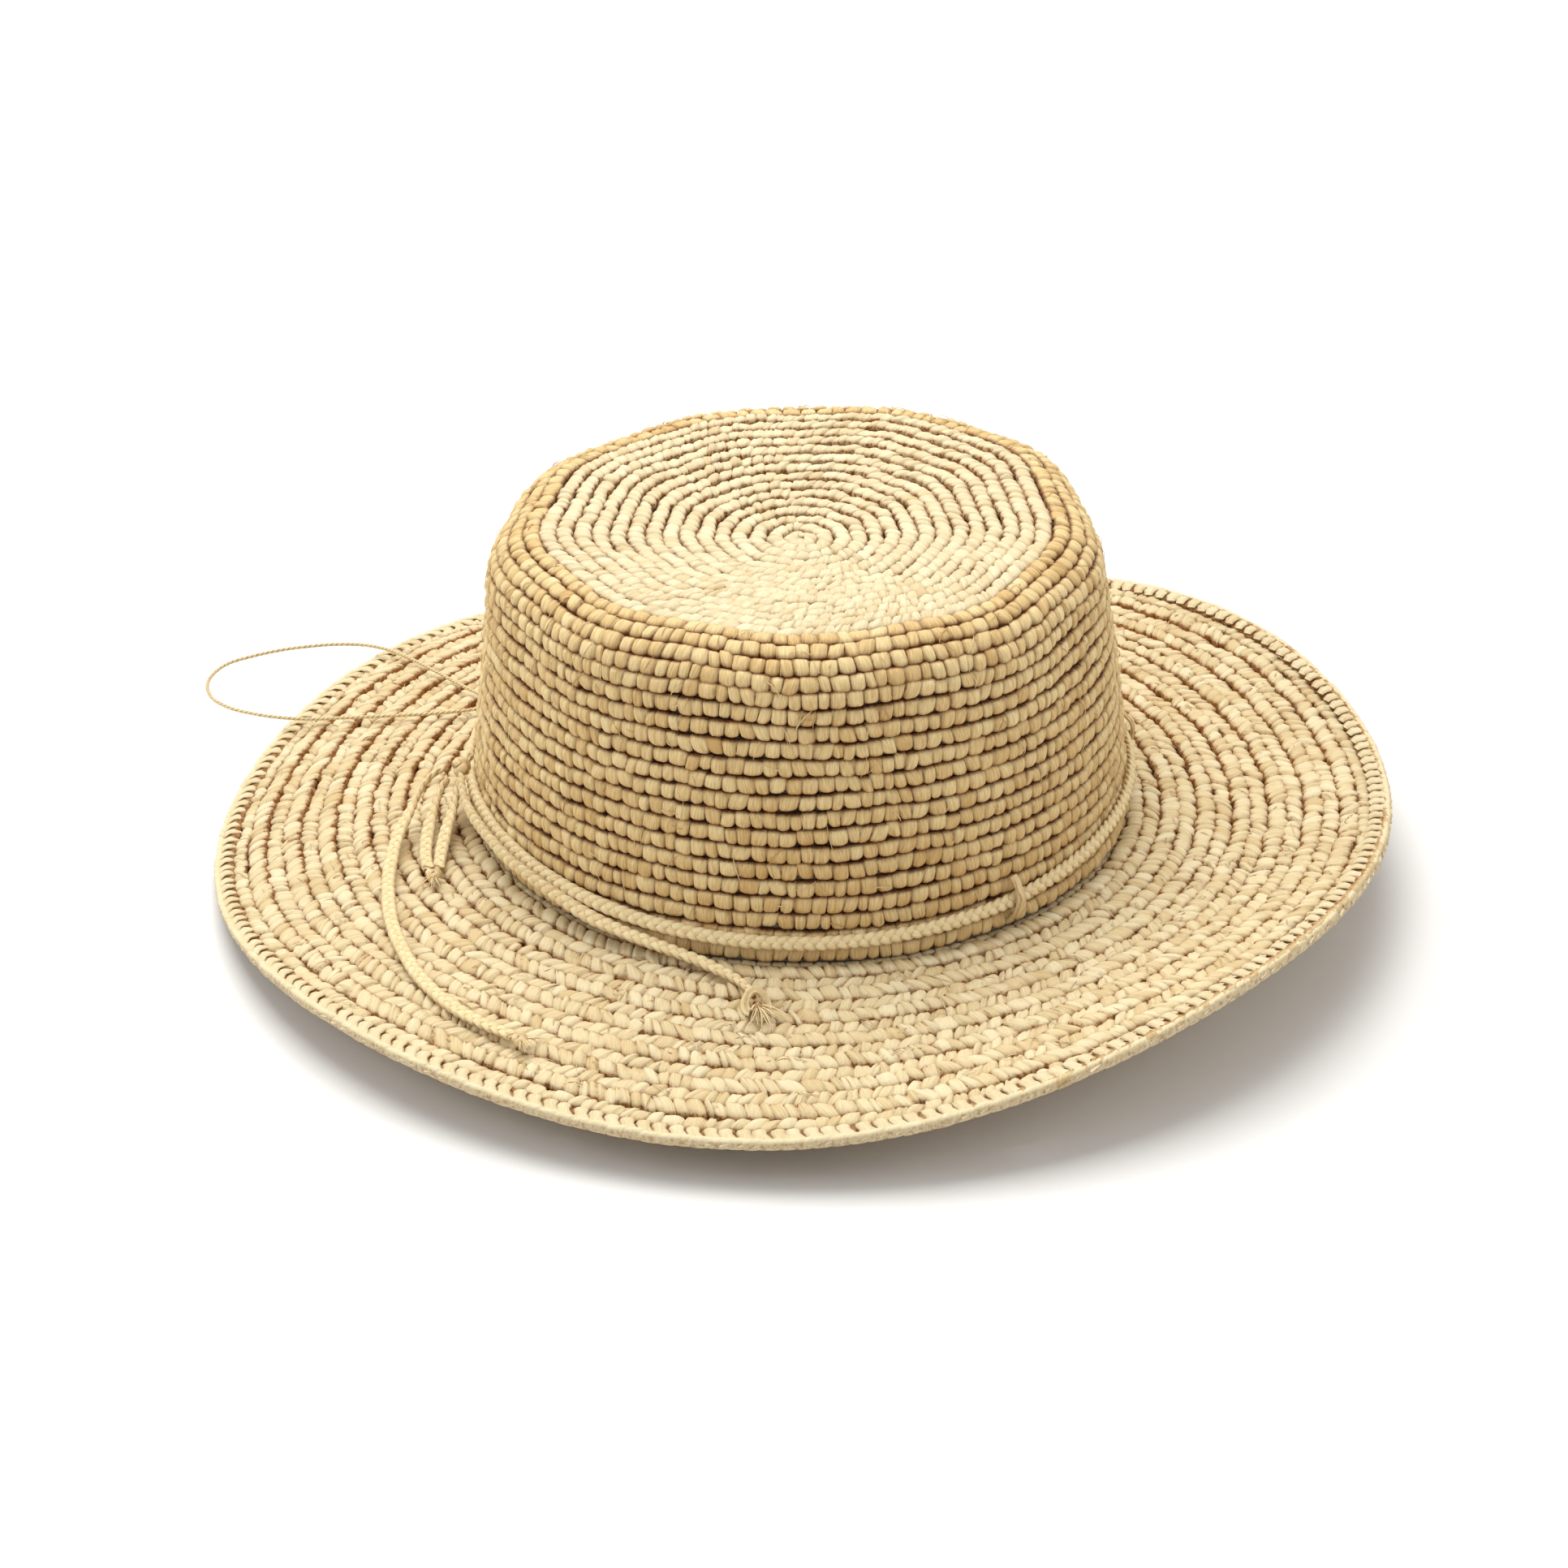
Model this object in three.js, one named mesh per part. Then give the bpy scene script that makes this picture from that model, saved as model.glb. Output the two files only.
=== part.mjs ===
// Crocheted raffia sun hat, lying on its brim. Millimetres, +Z up.
// The origin is on the surface the hat lies on, under the middle of the crown.
// +X is the side opposite the bow, and -Y is the side that the front tail crosses.
import * as THREE from 'three';

const DEGREE = Math.PI / 180;
const RING_STEPS = 72;

// Crown: a tapered wall with a rounded shoulder and a slightly sunken tip.
const CROWN_BASE_RADIUS = 95;
const CROWN_TOP_RADIUS = 88;
const CROWN_HEIGHT = 90;
const SHOULDER_RADIUS = 15;
const TIP_SINK = 4.5;

// One thickness of crochet, in the crown and in the brim.
const CROCHET_THICKNESS = 3.2;

// Brim: slopes down from the crown by BRIM_DROP, and rolls in three long waves that fade towards the crown.
const JOIN_HEIGHT = 21;
const BRIM_RADIUS = 170;
const BRIM_DROP = 5.3;
const BRIM_WAVES = [
  { turns: 1, height: 12.3, peak: -26.5 * DEGREE },
  { turns: 2, height: 3.4, peak: -3 * DEGREE },
  { turns: 4, height: 4.1, peak: 44.5 * DEGREE },
];

// Edging: the last rounds, worked over a nylon line that keeps the edge in shape.
const EDGING_WIDTH = 5;
const EDGING_DEPTH = 4.4;
const LINE_DIAMETER = 1.2;

// Sweatband: a cloth tape sewn inside the head opening.
const SWEATBAND_HEIGHT = 32;
const SWEATBAND_THICKNESS = 1.2;

// Hat band: one flat plaited cord round the crown, threaded through keeper loops and tied.
const CORD_WIDTH = 4.2;
const CORD_THICKNESS = 1.9;
const BAND_RISE = 10.2;
const BAND_WAVE = 2.8;
const KNOT_AZIMUTH = 185.5 * DEGREE;
const KNOT_SIZE = [6.8, 8.4, 7.6];
const TAIL_DIAMETER = 2.4;
const TAIL_KNOT_DIAMETER = 5;
const BOW_END_SIZE = [7, 6, 3.6];
const BOW_END_PLACE = [-102.8, -49.4, 22];
const KEEPER_AZIMUTHS = [308, 8, 68, 128];
const KEEPER_WIDTH = 3.4;
const KEEPER_THICKNESS = 0.9;
const KEEPER_FOOT = 2.6;

// Hanging loop: one thin cord, out and back, tied where the crown meets the brim.
const LOOP_DIAMETER = 1.2;
const LOOP_KNOT_DIAMETER = 4;
const LOOP_KNOT_PLACE = [-87.4, 46.4, 24.4];

// Clearances: sewn pieces, and the band cord running under its keepers.
const SEWN_GAP = 0.35;
const RUNNING_GAP = 0.5;

// The cords' routes, from the bow knot or the loop's knot outwards.
const FRONT_TAIL_ROUTE = [
  [-97.2, -14.4, 33.2], [-96.4, -20, 32.9], [-94.9, -27, 32.5], [-92, -35.5, 32.4], [-87.6, -45.1, 32.2],
  [-81.1, -56.3, 31.3], [-73.8, -65.2, 30.4], [-66.5, -72.6, 29], [-56.7, -80.5, 26.9], [-44.9, -87.6, 25.4],
  [-35.6, -92.2, 24.2], [-26.9, -96.6, 23.1], [-22.1, -99.8, 22.5], [-16.8, -104.1, 22], [-13.9, -108.4, 21.7],
  [-12.5, -112.5, 21.4],
];
const LONG_TAIL_ROUTE = [
  [-101.9, -9.9, 34.2], [-104.8, -11, 33], [-108, -14.1, 30.6], [-111.3, -21.9, 26.9], [-113.7, -28.6, 24.2],
  [-115, -37, 22.4], [-115.4, -49, 20.9], [-114.4, -61, 20.2], [-112.5, -72.3, 19.9], [-108.9, -84.5, 19.9],
  [-104.1, -96.8, 19.9], [-98.5, -106.8, 20], [-92, -115.4, 20], [-84.7, -122.3, 20], [-76.1, -128.6, 19.9],
];
const INNER_BOW_ROUTE = [
  [-98.3, -14.3, 31.2], [-98.5, -17.2, 29.4], [-99.2, -21.6, 27.2], [-100.2, -27, 25.2], [-101, -32.8, 23.7],
  [-101.4, -38.8, 22.5], [-101.6, -45.5, 21.9],
];
const OUTER_BOW_ROUTE = [
  [-101.4, -12.2, 31.6], [-103, -15.6, 29.8], [-104.6, -20.6, 27.2], [-105.6, -26.4, 24.6], [-106, -32.8, 22.8],
  [-105.6, -40.1, 21.9], [-104.6, -45.5, 21.7],
];
const HANG_LOOP_ROUTE = [
  [-89.2, 49.2, 24], [-92.6, 52.6, 23], [-97.2, 57.6, 21.7], [-104.1, 67.1, 19.9], [-111.2, 77.3, 18.3],
  [-119.8, 89.6, 16.1], [-128.6, 100.8, 13.7], [-136.8, 107, 12.2], [-145.9, 109.2, 11.3], [-154.7, 108.7, 10.8],
  [-163.5, 106.9, 10.4], [-172, 103.5, 10], [-179.1, 99.1, 9.7], [-182.9, 92.6, 9.5], [-183.8, 85.3, 9.5],
  [-181.2, 76.7, 9.6], [-174.6, 69.8, 9.8], [-166, 65.2, 10.2], [-157.5, 61.6, 11], [-148.2, 58, 12.6],
  [-139, 54.6, 14.9], [-126.1, 50.6, 17.7], [-111, 47.8, 20.2], [-98.7, 46.6, 22.2], [-91.2, 46.4, 23.8],
];

const RAFFIA = new THREE.MeshStandardMaterial({ color: 0xd9bf8f, roughness: 0.75, metalness: 0 });
const RAFFIA_CORD = new THREE.MeshStandardMaterial({ color: 0xd6ba86, roughness: 0.7, metalness: 0 });
const COTTON = new THREE.MeshStandardMaterial({ color: 0xe6dcc4, roughness: 0.9, metalness: 0 });
const NYLON = new THREE.MeshStandardMaterial({ color: 0xe9e6dc, roughness: 0.35, metalness: 0 });

const hat = new THREE.Group();
const edgingRadius = BRIM_RADIUS - EDGING_WIDTH / 2;
const lowestEdge = findLowestEdge();

addCrown();
addBrim();
addSweatband();
addBandCord();
addKeepers();
addBow();
addHangLoop();

export default hat;

// ---- the hat's own surfaces ----

function waveHeight(azimuth) {
  let height = 0;
  for (const wave of BRIM_WAVES) {
    height += wave.height * Math.cos(wave.turns * (azimuth - wave.peak));
  }
  return height;
}

function findLowestEdge() {
  let lowest = 0;
  for (let step = 0; step < 3600; step += 1) {
    const azimuth = (step / 10) * DEGREE;
    if (waveHeight(azimuth) < waveHeight(lowest)) lowest = azimuth;
  }
  return lowest;
}

// The middle of the edging. The ring has a station half a step either side of its lowest place,
// and the facet between those two lies on the surface under the hat.
function edgingHeight(azimuth) {
  const halfStep = Math.PI / RING_STEPS;
  const lowest = Math.min(waveHeight(lowestEdge - halfStep), waveHeight(lowestEdge + halfStep));
  return EDGING_DEPTH / 2 + waveHeight(azimuth) - lowest;
}

// The brim's top surface. It leaves the crown level, and it ends half a thickness above the edging's middle.
function brimTop(radius, azimuth) {
  const share = Math.max(0, (radius - CROWN_BASE_RADIUS) / (BRIM_RADIUS - CROWN_BASE_RADIUS));
  const fall = BRIM_DROP * share * (1 - share);
  const rise = edgingHeight(azimuth) + CROCHET_THICKNESS / 2 - JOIN_HEIGHT;
  return JOIN_HEIGHT - fall + rise * share * share;
}

function crownRadius(height) {
  const wallHeight = CROWN_HEIGHT - SHOULDER_RADIUS;
  const share = THREE.MathUtils.clamp((height - JOIN_HEIGHT) / wallHeight, 0, 1);
  return CROWN_BASE_RADIUS + (CROWN_TOP_RADIUS - CROWN_BASE_RADIUS) * share;
}

// ---- helpers that turn outlines into closed bodies ----

// A closed outline of [radius, height] points, given anticlockwise, turned round the Z axis.
function turnedRing(outline) {
  const points = outline.map(([radius, height]) => new THREE.Vector2(radius, height));
  const firstStep = lowestEdge + Math.PI / RING_STEPS + Math.PI / 2;
  const geometry = new THREE.LatheGeometry(points, RING_STEPS, firstStep);
  geometry.rotateX(Math.PI / 2);
  return geometry;
}

function closed(outline) {
  return [...outline, outline[0]];
}

function shiftHeights(geometry, heightChange) {
  const position = geometry.getAttribute('position');
  for (let i = 0; i < position.count; i += 1) {
    const x = position.getX(i);
    const y = position.getY(i);
    position.setZ(i, position.getZ(i) + heightChange(Math.hypot(x, y), Math.atan2(y, x)));
  }
  return geometry;
}

function arcPoints(centreRadius, centreHeight, radius, startAngle, endAngle, steps) {
  const points = [];
  for (let step = 0; step <= steps; step += 1) {
    const angle = startAngle + ((endAngle - startAngle) * step) / steps;
    points.push([centreRadius + radius * Math.cos(angle), centreHeight + radius * Math.sin(angle)]);
  }
  return points;
}

// Eight-sided section, as wide and as thick as asked.
function cordSection(width, thickness) {
  const shape = new THREE.Shape();
  for (let corner = 0; corner < 8; corner += 1) {
    const angle = (corner + 0.5) * (Math.PI / 4);
    const point = [(width / 2) * Math.cos(angle), (thickness / 2) * Math.sin(angle)];
    if (corner === 0) shape.moveTo(...point);
    else shape.lineTo(...point);
  }
  shape.closePath();
  return shape;
}

function tube(curve, width, thickness, steps) {
  const section = cordSection(width, thickness);
  return new THREE.ExtrudeGeometry(section, { steps, extrudePath: curve, bevelEnabled: false });
}

function routeCurve(route) {
  return new THREE.CatmullRomCurve3(route.map((point) => new THREE.Vector3(...point)));
}

function add(name, geometry, material) {
  const mesh = new THREE.Mesh(geometry, material);
  mesh.name = name;
  hat.add(mesh);
  return mesh;
}

function addKnot(name, size, place) {
  const geometry = new THREE.SphereGeometry(0.5, 10, 8);
  geometry.scale(...size);
  const knot = add(name, geometry, RAFFIA_CORD);
  knot.position.set(...place);
  return knot;
}

// ---- crown ----

function addCrown() {
  const rimHeight = JOIN_HEIGHT + CROWN_HEIGHT;
  const shoulderHeight = rimHeight - SHOULDER_RADIUS;
  const shoulderCentre = CROWN_TOP_RADIUS - SHOULDER_RADIUS;
  const innerShoulder = SHOULDER_RADIUS - CROCHET_THICKNESS;
  const foot = JOIN_HEIGHT + SEWN_GAP;
  add('crown_side', turnedRing(closed([
    [crownRadius(foot) - CROCHET_THICKNESS, foot],
    [crownRadius(foot), foot],
    ...arcPoints(shoulderCentre, shoulderHeight, SHOULDER_RADIUS, 0, Math.PI / 2, 5),
    ...arcPoints(shoulderCentre, shoulderHeight, innerShoulder, Math.PI / 2, 0, 4),
  ])), RAFFIA);

  const tipRadius = shoulderCentre - SEWN_GAP;
  const sunken = (radius) => rimHeight - TIP_SINK * (1 - (radius / tipRadius) ** 2) ** 2;
  const stations = [0, 0.25, 0.5, 0.75, 1].map((share) => share * tipRadius);
  const top = stations.map((radius) => [radius, sunken(radius)]).reverse();
  const underside = stations.map((radius) => [radius, sunken(radius) - CROCHET_THICKNESS]);
  add('crown_tip', turnedRing([...underside, ...top]), RAFFIA);
}

// ---- brim, its edging and the line inside the edging ----

function addBrim() {
  const innerRadius = CROWN_BASE_RADIUS - CROCHET_THICKNESS;
  const outerRadius = BRIM_RADIUS - EDGING_WIDTH - SEWN_GAP;
  const stations = [innerRadius, CROWN_BASE_RADIUS];
  const bands = 5;
  for (let band = 1; band <= bands; band += 1) {
    stations.push(CROWN_BASE_RADIUS + ((outerRadius - CROWN_BASE_RADIUS) * band) / bands);
  }
  const underside = stations.map((radius) => [radius, -CROCHET_THICKNESS]);
  const top = stations.map((radius) => [radius, 0]).reverse();
  const brim = shiftHeights(turnedRing(closed([...underside, ...top])), brimTop);
  add('brim', brim, RAFFIA);

  // The edging wraps the line like a folded tape that opens towards the crown.
  const half = EDGING_WIDTH / 2;
  const depth = EDGING_DEPTH / 2;
  const hollow = LINE_DIAMETER / 2 + SEWN_GAP;
  const slot = 0.5;
  const edging = [
    [-half, -depth * 0.75], [-half * 0.7, -depth], [half * 0.5, -depth], [half, -depth * 0.45],
    [half, depth * 0.45], [half * 0.5, depth], [-half * 0.7, depth], [-half, depth * 0.75],
    [-half, slot], [-hollow, slot], [-hollow * 0.5, hollow], [hollow * 0.5, hollow], [hollow, 0],
    [hollow * 0.5, -hollow], [-hollow * 0.5, -hollow], [-hollow, -slot], [-half, -slot],
  ].map(([offset, height]) => [edgingRadius + offset, height]);
  const followEdge = (radius, azimuth) => edgingHeight(azimuth);
  add('brim_edging', shiftHeights(turnedRing(closed(edging)), followEdge), RAFFIA);

  const line = arcPoints(edgingRadius, 0, LINE_DIAMETER / 2, 0, Math.PI * 2, 6).slice(0, 6);
  add('brim_shaping_line', shiftHeights(turnedRing(closed(line)), followEdge), NYLON);
}

// ---- sweatband ----

function addSweatband() {
  const bottom = JOIN_HEIGHT - CROCHET_THICKNESS;
  const top = bottom + SWEATBAND_HEIGHT;
  const fit = CROCHET_THICKNESS + SEWN_GAP;
  const outline = [
    [crownRadius(bottom) - fit - SWEATBAND_THICKNESS, bottom],
    [crownRadius(bottom) - fit, bottom],
    [crownRadius(JOIN_HEIGHT) - fit, JOIN_HEIGHT],
    [crownRadius(top) - fit, top],
    [crownRadius(top) - fit - SWEATBAND_THICKNESS, top],
  ];
  add('sweatband', turnedRing(closed(outline)), COTTON);
}

// ---- band cord and its keepers ----

function bandHeight(azimuth) {
  return JOIN_HEIGHT + BAND_RISE + BAND_WAVE * Math.cos(2 * azimuth);
}

function bandPlace(azimuth, standOff) {
  const height = bandHeight(azimuth);
  const radius = crownRadius(height) + SEWN_GAP + standOff;
  return new THREE.Vector3(radius * Math.cos(azimuth), radius * Math.sin(azimuth), height);
}

function addBandCord() {
  const halfKnot = (KNOT_SIZE[1] / 2 + RUNNING_GAP) / CROWN_BASE_RADIUS;
  class BandCurve extends THREE.Curve {
    getPoint(share) {
      const azimuth = KNOT_AZIMUTH + halfKnot + share * (2 * Math.PI - 2 * halfKnot);
      return bandPlace(azimuth, CORD_THICKNESS / 2);
    }
  }
  add('band_cord', tube(new BandCurve(), CORD_WIDTH, CORD_THICKNESS, RING_STEPS), RAFFIA_CORD);
}

// A keeper is a small bar of raffia with two feet on the crown, over and under the cord.
function addKeepers() {
  const inner = CORD_THICKNESS + RUNNING_GAP;
  const outer = inner + KEEPER_THICKNESS;
  const halfOpening = CORD_WIDTH / 2 + BAND_WAVE / 4 + RUNNING_GAP;
  const halfHeight = halfOpening + KEEPER_FOOT;
  const outline = new THREE.Shape();
  outline.moveTo(0, -halfHeight);
  outline.lineTo(KEEPER_THICKNESS, -halfHeight);
  outline.lineTo(outer, -halfOpening + KEEPER_THICKNESS / 2);
  outline.lineTo(outer, halfOpening - KEEPER_THICKNESS / 2);
  outline.lineTo(KEEPER_THICKNESS, halfHeight);
  outline.lineTo(0, halfHeight);
  outline.lineTo(0, halfOpening);
  outline.lineTo(inner, halfOpening - KEEPER_THICKNESS);
  outline.lineTo(inner, -halfOpening + KEEPER_THICKNESS);
  outline.lineTo(0, -halfOpening);
  outline.closePath();
  const lean = Math.atan2(CROWN_BASE_RADIUS - CROWN_TOP_RADIUS, CROWN_HEIGHT - SHOULDER_RADIUS);
  KEEPER_AZIMUTHS.forEach((degrees, index) => {
    const azimuth = degrees * DEGREE;
    const geometry = new THREE.ExtrudeGeometry(outline, { depth: KEEPER_WIDTH, bevelEnabled: false });
    geometry.translate(0, 0, -KEEPER_WIDTH / 2);
    geometry.rotateX(Math.PI / 2);
    geometry.rotateY(-lean);
    geometry.rotateZ(azimuth);
    const keeper = add(`band_keeper_${index + 1}`, geometry, RAFFIA_CORD);
    keeper.position.copy(bandPlace(azimuth, 0));
  });
}

// ---- the bow: knot, two tails and the doubled end ----

function addTail(name, route) {
  const steps = Math.max(12, Math.round(routeCurve(route).getLength() / (2.5 * TAIL_DIAMETER)));
  add(name, tube(routeCurve(route), TAIL_DIAMETER, TAIL_DIAMETER, steps), RAFFIA_CORD);
}

// The knot at a tail's end sits just past the end of its route, in line with it.
function endPlace(route, distance) {
  const end = new THREE.Vector3(...route[route.length - 1]);
  const before = new THREE.Vector3(...route[route.length - 2]);
  return end.clone().add(end.clone().sub(before).setLength(distance)).toArray();
}

function addBow() {
  const place = bandPlace(KNOT_AZIMUTH, KNOT_SIZE[0] / 2 + SEWN_GAP);
  const knot = addKnot('bow_knot', KNOT_SIZE, place.toArray());
  knot.rotation.z = KNOT_AZIMUTH - Math.PI;
  addTail('front_tail', FRONT_TAIL_ROUTE);
  addTail('long_tail', LONG_TAIL_ROUTE);
  addTail('inner_bow_strand', INNER_BOW_ROUTE);
  addTail('outer_bow_strand', OUTER_BOW_ROUTE);
  const tailKnot = [TAIL_KNOT_DIAMETER, TAIL_KNOT_DIAMETER, TAIL_KNOT_DIAMETER * 0.7];
  const reach = TAIL_KNOT_DIAMETER / 2 + SEWN_GAP;
  addKnot('front_tail_knot', tailKnot, endPlace(FRONT_TAIL_ROUTE, reach));
  addKnot('long_tail_tuft', tailKnot, endPlace(LONG_TAIL_ROUTE, reach));
  addKnot('bow_end_knot', BOW_END_SIZE, BOW_END_PLACE);
}

// ---- hanging loop ----

function addHangLoop() {
  const curve = routeCurve(HANG_LOOP_ROUTE);
  add('hang_loop', tube(curve, LOOP_DIAMETER, LOOP_DIAMETER, 76), RAFFIA_CORD);
  const size = [LOOP_KNOT_DIAMETER, LOOP_KNOT_DIAMETER, LOOP_KNOT_DIAMETER];
  addKnot('hang_loop_knot', size, LOOP_KNOT_PLACE);
}
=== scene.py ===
import math

import bpy
import numpy as np
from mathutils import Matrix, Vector


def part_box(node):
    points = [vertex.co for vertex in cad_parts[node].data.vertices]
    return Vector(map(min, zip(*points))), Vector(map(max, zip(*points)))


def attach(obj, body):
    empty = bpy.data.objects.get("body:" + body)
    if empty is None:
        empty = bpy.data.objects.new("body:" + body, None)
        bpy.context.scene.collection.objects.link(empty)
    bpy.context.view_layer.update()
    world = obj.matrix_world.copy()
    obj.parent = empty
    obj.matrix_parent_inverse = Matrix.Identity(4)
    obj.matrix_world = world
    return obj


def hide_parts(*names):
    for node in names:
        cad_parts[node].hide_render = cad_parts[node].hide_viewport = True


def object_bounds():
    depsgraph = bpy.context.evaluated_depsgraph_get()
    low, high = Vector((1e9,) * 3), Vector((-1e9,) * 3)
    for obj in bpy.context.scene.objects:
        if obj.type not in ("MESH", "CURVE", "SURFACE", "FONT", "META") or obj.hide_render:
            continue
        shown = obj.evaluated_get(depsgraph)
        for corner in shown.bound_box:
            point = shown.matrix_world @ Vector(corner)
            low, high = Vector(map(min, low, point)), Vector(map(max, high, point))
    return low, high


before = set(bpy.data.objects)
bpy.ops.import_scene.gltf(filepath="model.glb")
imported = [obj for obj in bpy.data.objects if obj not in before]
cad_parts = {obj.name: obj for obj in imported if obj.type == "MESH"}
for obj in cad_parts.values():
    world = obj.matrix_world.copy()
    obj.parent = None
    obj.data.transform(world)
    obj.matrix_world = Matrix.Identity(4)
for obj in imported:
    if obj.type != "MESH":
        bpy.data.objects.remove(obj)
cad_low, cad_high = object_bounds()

# ---- The studio ----
# A pale table, one large softbox above the hat and a weak one on each side, in a white room.
# The camera stands in front of the hat and looks down on it, with the bow on its left.

CAMERA_PLACE = Vector((0, -1.0523, 0.6225))
CAMERA_AIM = Vector((-0.0047, -0.013, 0.0307))
CAMERA_LENS_MM = 95.8
LIT_PLACE = Vector((0, 0, 0.05))
SOFTBOXES = (
    ("overhead_softbox", Vector((-0.2, 0.4, 1.7)), (1.3, 1.3), 28),
    ("left_softbox", Vector((-1.6, -0.3, 1.0)), (1, 0.8), 6.5),
    ("right_softbox", Vector((1.6, -0.3, 1.0)), (1, 0.8), 4.6),
)
ROOM_LIGHT = 0.55
HALF_TABLE = 3
TABLE_DROP = 0.0002

scene = bpy.context.scene
scene.view_settings.view_transform = "Standard"


def stand_at(name, data, place, aim):
    """A camera or a lamp at place, turned towards aim."""
    made = bpy.data.objects.new(name, data)
    made.location = place
    made.rotation_euler = (aim - place).to_track_quat("-Z", "Y").to_euler()
    scene.collection.objects.link(made)
    return made


camera_data = bpy.data.cameras.new("camera")
camera_data.lens = CAMERA_LENS_MM
scene.camera = stand_at("camera", camera_data, CAMERA_PLACE, CAMERA_AIM)
for name, place, size, watts in SOFTBOXES:
    light = bpy.data.lights.new(name, "AREA")
    light.shape = "RECTANGLE"
    light.size, light.size_y = size
    light.energy = watts
    light.color = (1, 0.985, 0.96)
    stand_at(name, light, place, LIT_PLACE)

room = bpy.data.worlds.new("white_room")
room.use_nodes = True
room.node_tree.nodes["Background"].inputs["Color"].default_value = (1, 1, 1, 1)
room.node_tree.nodes["Background"].inputs["Strength"].default_value = ROOM_LIGHT
scene.world = room


def node(tree, kind, **settings):
    made = tree.nodes.new(kind)
    for key, value in settings.items():
        setattr(made, key, value)
    return made


def plain_material(name, colour, roughness, specular, sheen=0.0):
    """A material of one colour, with its node tree and its shader."""
    material = bpy.data.materials.new(name)
    material.use_nodes = True
    surface = material.node_tree.nodes["Principled BSDF"]
    surface.inputs["Base Color"].default_value = (*colour, 1)
    surface.inputs["Roughness"].default_value = roughness
    surface.inputs["Specular IOR Level"].default_value = specular
    surface.inputs["Sheen Weight"].default_value = sheen
    return material, material.node_tree, surface


def noise(tree, scale, detail=2):
    made = node(tree, "ShaderNodeTexNoise")
    made.inputs["Scale"].default_value = scale
    made.inputs["Detail"].default_value = detail
    return made


def colour_mix(tree, **settings):
    """A new colour mix's sockets, by identifier."""
    made = node(tree, "ShaderNodeMix", data_type="RGBA", **settings)
    return {socket.identifier: socket for socket in (*made.inputs, *made.outputs)}


def add_bump(tree, surface, height, strength, distance):
    bump = node(tree, "ShaderNodeBump")
    bump.inputs["Strength"].default_value = strength
    bump.inputs["Distance"].default_value = distance
    tree.links.new(height, bump.inputs["Height"])
    tree.links.new(bump.outputs["Normal"], surface.inputs["Normal"])


def grained_material(name, colour, roughness, specular, grain, strength, distance):
    """A plain material with a fine random grain in its surface."""
    material, tree, surface = plain_material(name, colour, roughness, specular)
    add_bump(tree, surface, noise(tree, grain).outputs["Fac"], strength, distance)
    return material


table_mesh = bpy.data.meshes.new("table")
table_mesh.from_pydata(
    [(x * HALF_TABLE, y * HALF_TABLE, -TABLE_DROP) for x, y in ((-1, -1), (1, -1), (1, 1), (-1, 1))],
    [], [(0, 1, 2, 3)])
table_mesh.materials.append(grained_material(
    "painted_table", (0.86, 0.86, 0.85), 0.7, specular=0.2, grain=60, strength=0.02, distance=0.001))
table = bpy.data.objects.new("table", table_mesh)
scene.collection.objects.link(table)

# ---- The tied cords ----
# Flat three-strand plaits of raffia, about 4 mm wide. They leave the bow knot at the wearer's
# side: a tail across the front, a long tail over the brim, and a short doubled end.

PLAIT_WIDTH = 0.0041
PLAIT_THICKNESS = 0.0019
PLAIT_TURN = 0.0088
NARROWED_LENGTH = 0.02
STRAND_ROUNDNESS = 0.8
FRONT_TAIL_ROUTE = [
    (-0.0972, -0.0144, 0.0332), (-0.0964, -0.02, 0.0329), (-0.0949, -0.027, 0.0325),
    (-0.092, -0.0355, 0.0324), (-0.0876, -0.0451, 0.0322), (-0.0811, -0.0563, 0.0313),
    (-0.0738, -0.0652, 0.0304), (-0.0665, -0.0726, 0.029), (-0.0567, -0.0805, 0.0269),
    (-0.0449, -0.0876, 0.0254), (-0.0356, -0.0922, 0.0242), (-0.0269, -0.0966, 0.0231),
    (-0.0221, -0.0998, 0.0225), (-0.0168, -0.1041, 0.022), (-0.0139, -0.1084, 0.0217),
    (-0.0125, -0.1125, 0.0214),
]
LONG_TAIL_ROUTE = [
    (-0.1019, -0.0099, 0.0342), (-0.1048, -0.011, 0.033), (-0.108, -0.0141, 0.0306),
    (-0.1113, -0.0219, 0.0269), (-0.1137, -0.0286, 0.0242), (-0.115, -0.037, 0.0224),
    (-0.1154, -0.049, 0.0209), (-0.1144, -0.061, 0.0202), (-0.1125, -0.0723, 0.0199),
    (-0.1089, -0.0845, 0.0199), (-0.1041, -0.0968, 0.0199), (-0.0985, -0.1068, 0.02),
    (-0.092, -0.1154, 0.02), (-0.0847, -0.1223, 0.02), (-0.0761, -0.1286, 0.0199),
]
INNER_BOW_ROUTE = [
    (-0.0983, -0.0143, 0.0312), (-0.0985, -0.0172, 0.0294), (-0.0992, -0.0216, 0.0272),
    (-0.1002, -0.027, 0.0252), (-0.101, -0.0328, 0.0237), (-0.1014, -0.0388, 0.0225),
    (-0.1016, -0.0455, 0.0219),
]
OUTER_BOW_ROUTE = [
    (-0.1014, -0.0122, 0.0316), (-0.103, -0.0156, 0.0298), (-0.1046, -0.0206, 0.0272),
    (-0.1056, -0.0264, 0.0246), (-0.106, -0.0328, 0.0228), (-0.1056, -0.0401, 0.0219),
    (-0.1046, -0.0455, 0.0217),
]
LOWEST_ON_CROWN = 0.0225
CROWN_LYING_HEIGHT = 0.009
ROUTE_STEP = 0.0005
UP = np.array((0, 0, 1.0))


def unit(vectors):
    return vectors / np.maximum(np.linalg.norm(vectors, axis=-1, keepdims=True), 1e-12)


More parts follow.
